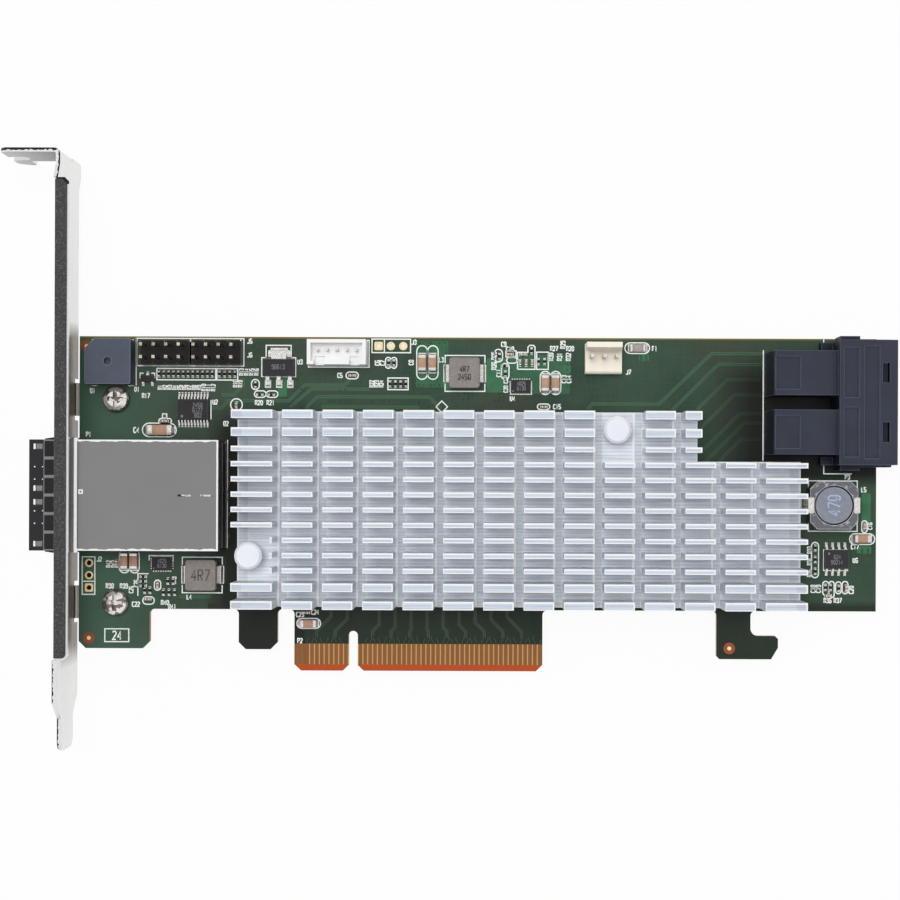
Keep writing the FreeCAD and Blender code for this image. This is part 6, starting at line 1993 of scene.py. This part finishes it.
@dataclass
class FrameLatches:
    """Grey latch plates in the pits of the outside port's frame, with white slivers beside them as painted
    glints.
    """

    plate: float = 1.1
    plate_length: float = 1.3
    sliver: float = 0.4
    offsets: Row = (9.775, 1.375, -1.375, -9.775)
    from_front: float = 2.05
    outer_from: float = 5.0
    stud_rows: Row = (4.1, 6.6)

    def build(self) -> None:
        """Makes four plates just under the frame's top, and as painted glints four white slivers and a few
        small studs.
        """
        front = node_box("external_port_front_frame")
        middle, top = front.centre[1], front.high[2]
        low, high = top - 2 * BITE, top + BITE
        x = front.low[0] + self.from_front
        left = x - self.plate_length / 2
        plates, slivers = Shape(), Shape()
        for offset in self.offsets:
            y0, y1 = middle + offset - self.plate / 2, middle + offset + self.plate / 2
            corner = np.array([left + self.plate_length, y1, top - 0.03])
            plates.rounded_box(Box(np.array([left, y0, top - 0.32]), corner), 0.08, 2)
            slivers.slab(left - 0.5, left - 0.5 + self.sliver, y0, y1, low, high)
            if abs(offset) < self.outer_from:
                continue
            inwards = 1 if offset < 0 else -1
            for row in self.stud_rows:
                stud = middle + offset + inwards * row
                slivers.slab(left - 0.4, left - 0.15, stud - 0.12, stud + 0.12, low, high)
                slivers.slab(x + 0.55, x + 0.75, stud - 0.1, stud + 0.1, low, high)
        make_piece("port_latch_plates", plates, LATCH_GREY.make(), 40)
        make_piece("port_frame_painted_glints", slivers, GLINT.make(), 0)


@dataclass
class SolderWork:
    """Chip parts with rounded ends, and the solder under every lead, as one piece."""

    kinds: tuple[ChipKind, ...] = (
        ChipKind("large_capacitor", "capacitor_bodies", "capacitor_ends", "ceramic", reach=0.5, lap=0.2),
        ChipKind(
            "small_capacitor", "small_capacitor_bodies", "small_capacitor_ends", "ceramic",
            reach=0.28, lap=0.1,
        ),
        ChipKind("resistor", "resistor_bodies", "resistor_ends", "resistor_coat", reach=0.26, end_round=0.06),
        ChipKind("fuse", "fuse_body", "fuse_ends", "fuse_coat", reach=0.45),
    )
    leads: tuple[Leads, ...] = (
        Leads("regulator_leads", "regulator_body", reach=0.6, rise=0.3, side=0.25, under=1.1, axis=Axis.Y),
        Leads("buffer_chip_leads", "buffer_chip_body"),
        Leads("memory_chip_leads", "memory_chip_body"),
        Leads("transistor_leads", "transistor_body", axis=Axis.Y, reach=0.25),
        Leads("inductor_upper_clips", "inductor_upper_core", reach=0.5, rise=0.8, side=0.1, axis=Axis.X),
        Leads("inductor_lower_clips", "inductor_lower_core", reach=0.5, rise=0.8, side=0.1, axis=Axis.X),
        Leads("drum_inductor_terminals", "drum_inductor_core", reach=0.4, rise=0.5, side=0.1, axis=Axis.X),
    )
    drum_reach: tuple[float, float] = (4.1, 5.3)
    drum_depth: float = 0.3
    tab_half: float = 2.3
    tab_foot: float = 64.75
    margin: float = 0.1

    def build(self, finishes: dict[str, Material]) -> None:
        """Makes the chip parts, then the solder of all parts.

        Args:
            finishes: material of each slot.
        """
        solder = Shape()
        for kind in self.kinds:
            kind.build(finishes, solder)
        for part in self.leads:
            part.build(solder)
        PowerChipPads().build(solder)
        drum, plate = node_box("drum_inductor_terminals"), node_box("drum_inductor_shield").high[2]
        y0, y1 = drum.low[1] - self.margin, drum.high[1] + self.margin
        for side in (-1, 1):
            x0, x1 = sorted(drum.centre[0] + side * reach for reach in self.drum_reach)
            solder.slab(x0, x1, y0, y1, plate - self.drum_depth, plate + 0.04)
        tab = node_box("regulator_leads")
        x0, x1 = tab.centre[0] - self.tab_half, tab.centre[0] + self.tab_half
        under_tab = loop_box(x0, x1, self.tab_foot, tab.high[1] + self.margin, 0.3)
        solder.prism(under_tab, FACE - BITE, FACE + 0.05)
        make_piece("solder_fillets", solder, finishes["solder_metal"], 50)


@dataclass
class Studio:
    """Pale floor, soft lamps and the camera at the photograph's place."""

    camera_x: float = 30.8
    camera_y: float = 38.9
    camera_height: float = 383.8
    camera_roll: float = 0.0038
    focal_length: float = 74.2
    sensor: float = 36.0
    shift_x: float = -0.0589
    shift_y: float = 0.0367
    floor_drop: float = 0.05
    floor_size: float = 3000.0
    world_strength: float = 0.336
    mirrored_share: float = 0.7
    floor_white: float = 0.95
    floor_colour: Colour = srgb(236, 236, 236)
    aim: Spot = (25.0, 40.0, 0.0)
    lamps: tuple[tuple[str, Spot, float, float], ...] = (
        ("lamp_top", (-60, 190, 880), 460, 4.4),
        ("lamp_left", (-700, -60, 420), 480, 0.7),
        ("lamp_right", (720, 180, 420), 480, 1.1),
    )

    def build(self) -> None:
        """Makes floor, world, lamps and camera."""
        scene = bpy.context.scene
        scene.view_settings.view_transform = "Standard"
        self.make_camera(scene)
        self.make_world(scene)
        self.make_floor()
        for lamp in self.lamps:
            self.make_lamp(*lamp)

    def make_camera(self, scene: bpy.types.Scene) -> None:
        """Camera that looks straight down, off centre, as the photograph was taken.

        Args:
            scene: the scene.
        """
        data = bpy.data.cameras.new("camera")
        data.lens = self.focal_length
        data.sensor_width = self.sensor
        data.shift_x = self.shift_x
        data.shift_y = self.shift_y
        data.clip_start = 0.01
        data.clip_end = 10
        camera = bpy.data.objects.new("camera", data)
        camera.location = np.array([self.camera_x, self.camera_y, self.camera_height]) * MM
        camera.rotation_euler = (0, 0, self.camera_roll)
        scene.collection.objects.link(camera)
        scene.camera = camera

    def make_world(self, scene: bpy.types.Scene) -> None:
        """Even pale light, seen as white by the camera and in reflections.

        Args:
            scene: the scene.
        """
        world = bpy.data.worlds.new("world")
        scene.world = world
        world.use_nodes = True
        tree = world.node_tree
        tree.nodes.clear()
        paths = tree.nodes.new("ShaderNodeLightPath").outputs

        def combined(operation: str, first: Socket, second: object) -> Socket:
            """Result of a Math node on a socket and a socket or number.

            Args:
                operation: what the node does.
                first: its first input.
                second: its second input.

            Returns:
                Its output.
            """
            made = tree.nodes.new("ShaderNodeMath")
            made.operation = operation
            tree.links.new(first, made.inputs[0])
            if isinstance(second, Socket):
                tree.links.new(second, made.inputs[1])
            else:
                made.inputs[1].default_value = second
            return made.outputs[0]

        mirrored = combined("MAXIMUM", paths["Is Glossy Ray"], paths["Is Transmission Ray"])
        dimmed = combined("MULTIPLY", mirrored, self.mirrored_share)
        seen = combined("MAXIMUM", paths["Is Camera Ray"], dimmed)
        strength = tree.nodes.new("ShaderNodeMapRange")
        tree.links.new(seen, strength.inputs["Value"])
        strength.inputs["To Min"].default_value = self.world_strength
        strength.inputs["To Max"].default_value = 1.0
        background = tree.nodes.new("ShaderNodeBackground")
        background.inputs["Color"].default_value = (1, 1, 1, 1)
        tree.links.new(strength.outputs["Result"], background.inputs["Strength"])
        output = tree.nodes.new("ShaderNodeOutputWorld")
        tree.links.new(background.outputs["Background"], output.inputs["Surface"])

    def make_floor(self) -> None:
        """Floor just under the card: white to the camera, with a faint shadow."""
        z = CAD_BOX[0][2] - self.floor_drop * MM
        reach = self.floor_size * MM / 2
        mesh = bpy.data.meshes.new("floor")
        sheet = [(-reach, -reach, z), (reach, -reach, z), (reach, reach, z), (-reach, reach, z)]
        mesh.from_pydata(sheet, [], [(0, 1, 2, 3)])
        floor = bpy.data.objects.new("floor", mesh)
        bpy.context.scene.collection.objects.link(floor)
        graph = Graph("floor")
        graph.paint(self.floor_colour, 0.9)
        white = graph.node("ShaderNodeEmission", strength=1.0)
        paths = graph.node("ShaderNodeLightPath")
        mixed = graph.node("ShaderNodeMixShader")
        rays = [paths.outputs[f"Is {kind} Ray"] for kind in ("Glossy", "Transmission", "Camera")]
        graph.join(graph.product(graph.most(*rays), self.floor_white), mixed.inputs["Fac"])
        graph.join(graph.surface.outputs["BSDF"], mixed.inputs[1])
        graph.join(white.outputs["Emission"], mixed.inputs[2])
        output = next(n for n in graph.tree.nodes if n.type == "OUTPUT_MATERIAL")
        graph.join(mixed.outputs["Shader"], output.inputs["Surface"])
        mesh.materials.append(graph.material)

    def make_lamp(self, name: str, place: Spot, size: float, power: float) -> None:
        """Square soft lamp that faces the middle of the card.

        Args:
            name: the lamp's name.
            place: its middle.
            size: its side.
            power: watts.
        """
        data = bpy.data.lights.new(name, "AREA")
        data.size = size * MM
        data.energy = power
        lamp = bpy.data.objects.new(name, data)
        lamp.visible_glossy = False
        away = Vector((np.array(place) - self.aim).tolist())
        lamp.location = np.array(place) * MM
        lamp.rotation_mode = "QUATERNION"
        lamp.rotation_quaternion = away.to_track_quat("Z", "Y")
        bpy.context.scene.collection.objects.link(lamp)


def dress_nodes(finishes: dict[str, Material]) -> None:
    """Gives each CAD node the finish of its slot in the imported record.

    Args:
        finishes: material of each slot.
    """
    for part in frame["record"]["subparts"]:
        mesh = frame["nodes"][part["node"]].data
        mesh.materials.clear()
        mesh.materials.append(finishes[part["material_slot"]])


def main() -> None:
    """Builds the card's looks in order."""
    logging.basicConfig(level=logging.INFO, format="%(name)s: %(message)s")
    Studio().build()
    special = (
        BoardFinish(), SteelFinish(), FinFinish(), CageFinish(), ScrewFinish(), CollarFinish(), DrumFinish()
    )
    finishes = {finish.name: finish.make() for finish in (*PLAIN_FINISHES, *special)}
    dress_nodes(finishes)
    SolderWork().build(finishes)
    PinJoints().build(finishes)
    HeatsinkEdges().build()
    CageFolds().build()
    BoardCopper().build()
    Markings().build()
    FrameLatches().build()
    CrownHighlights().build()
    Legend().build()


if __name__ == "__main__":
    main()
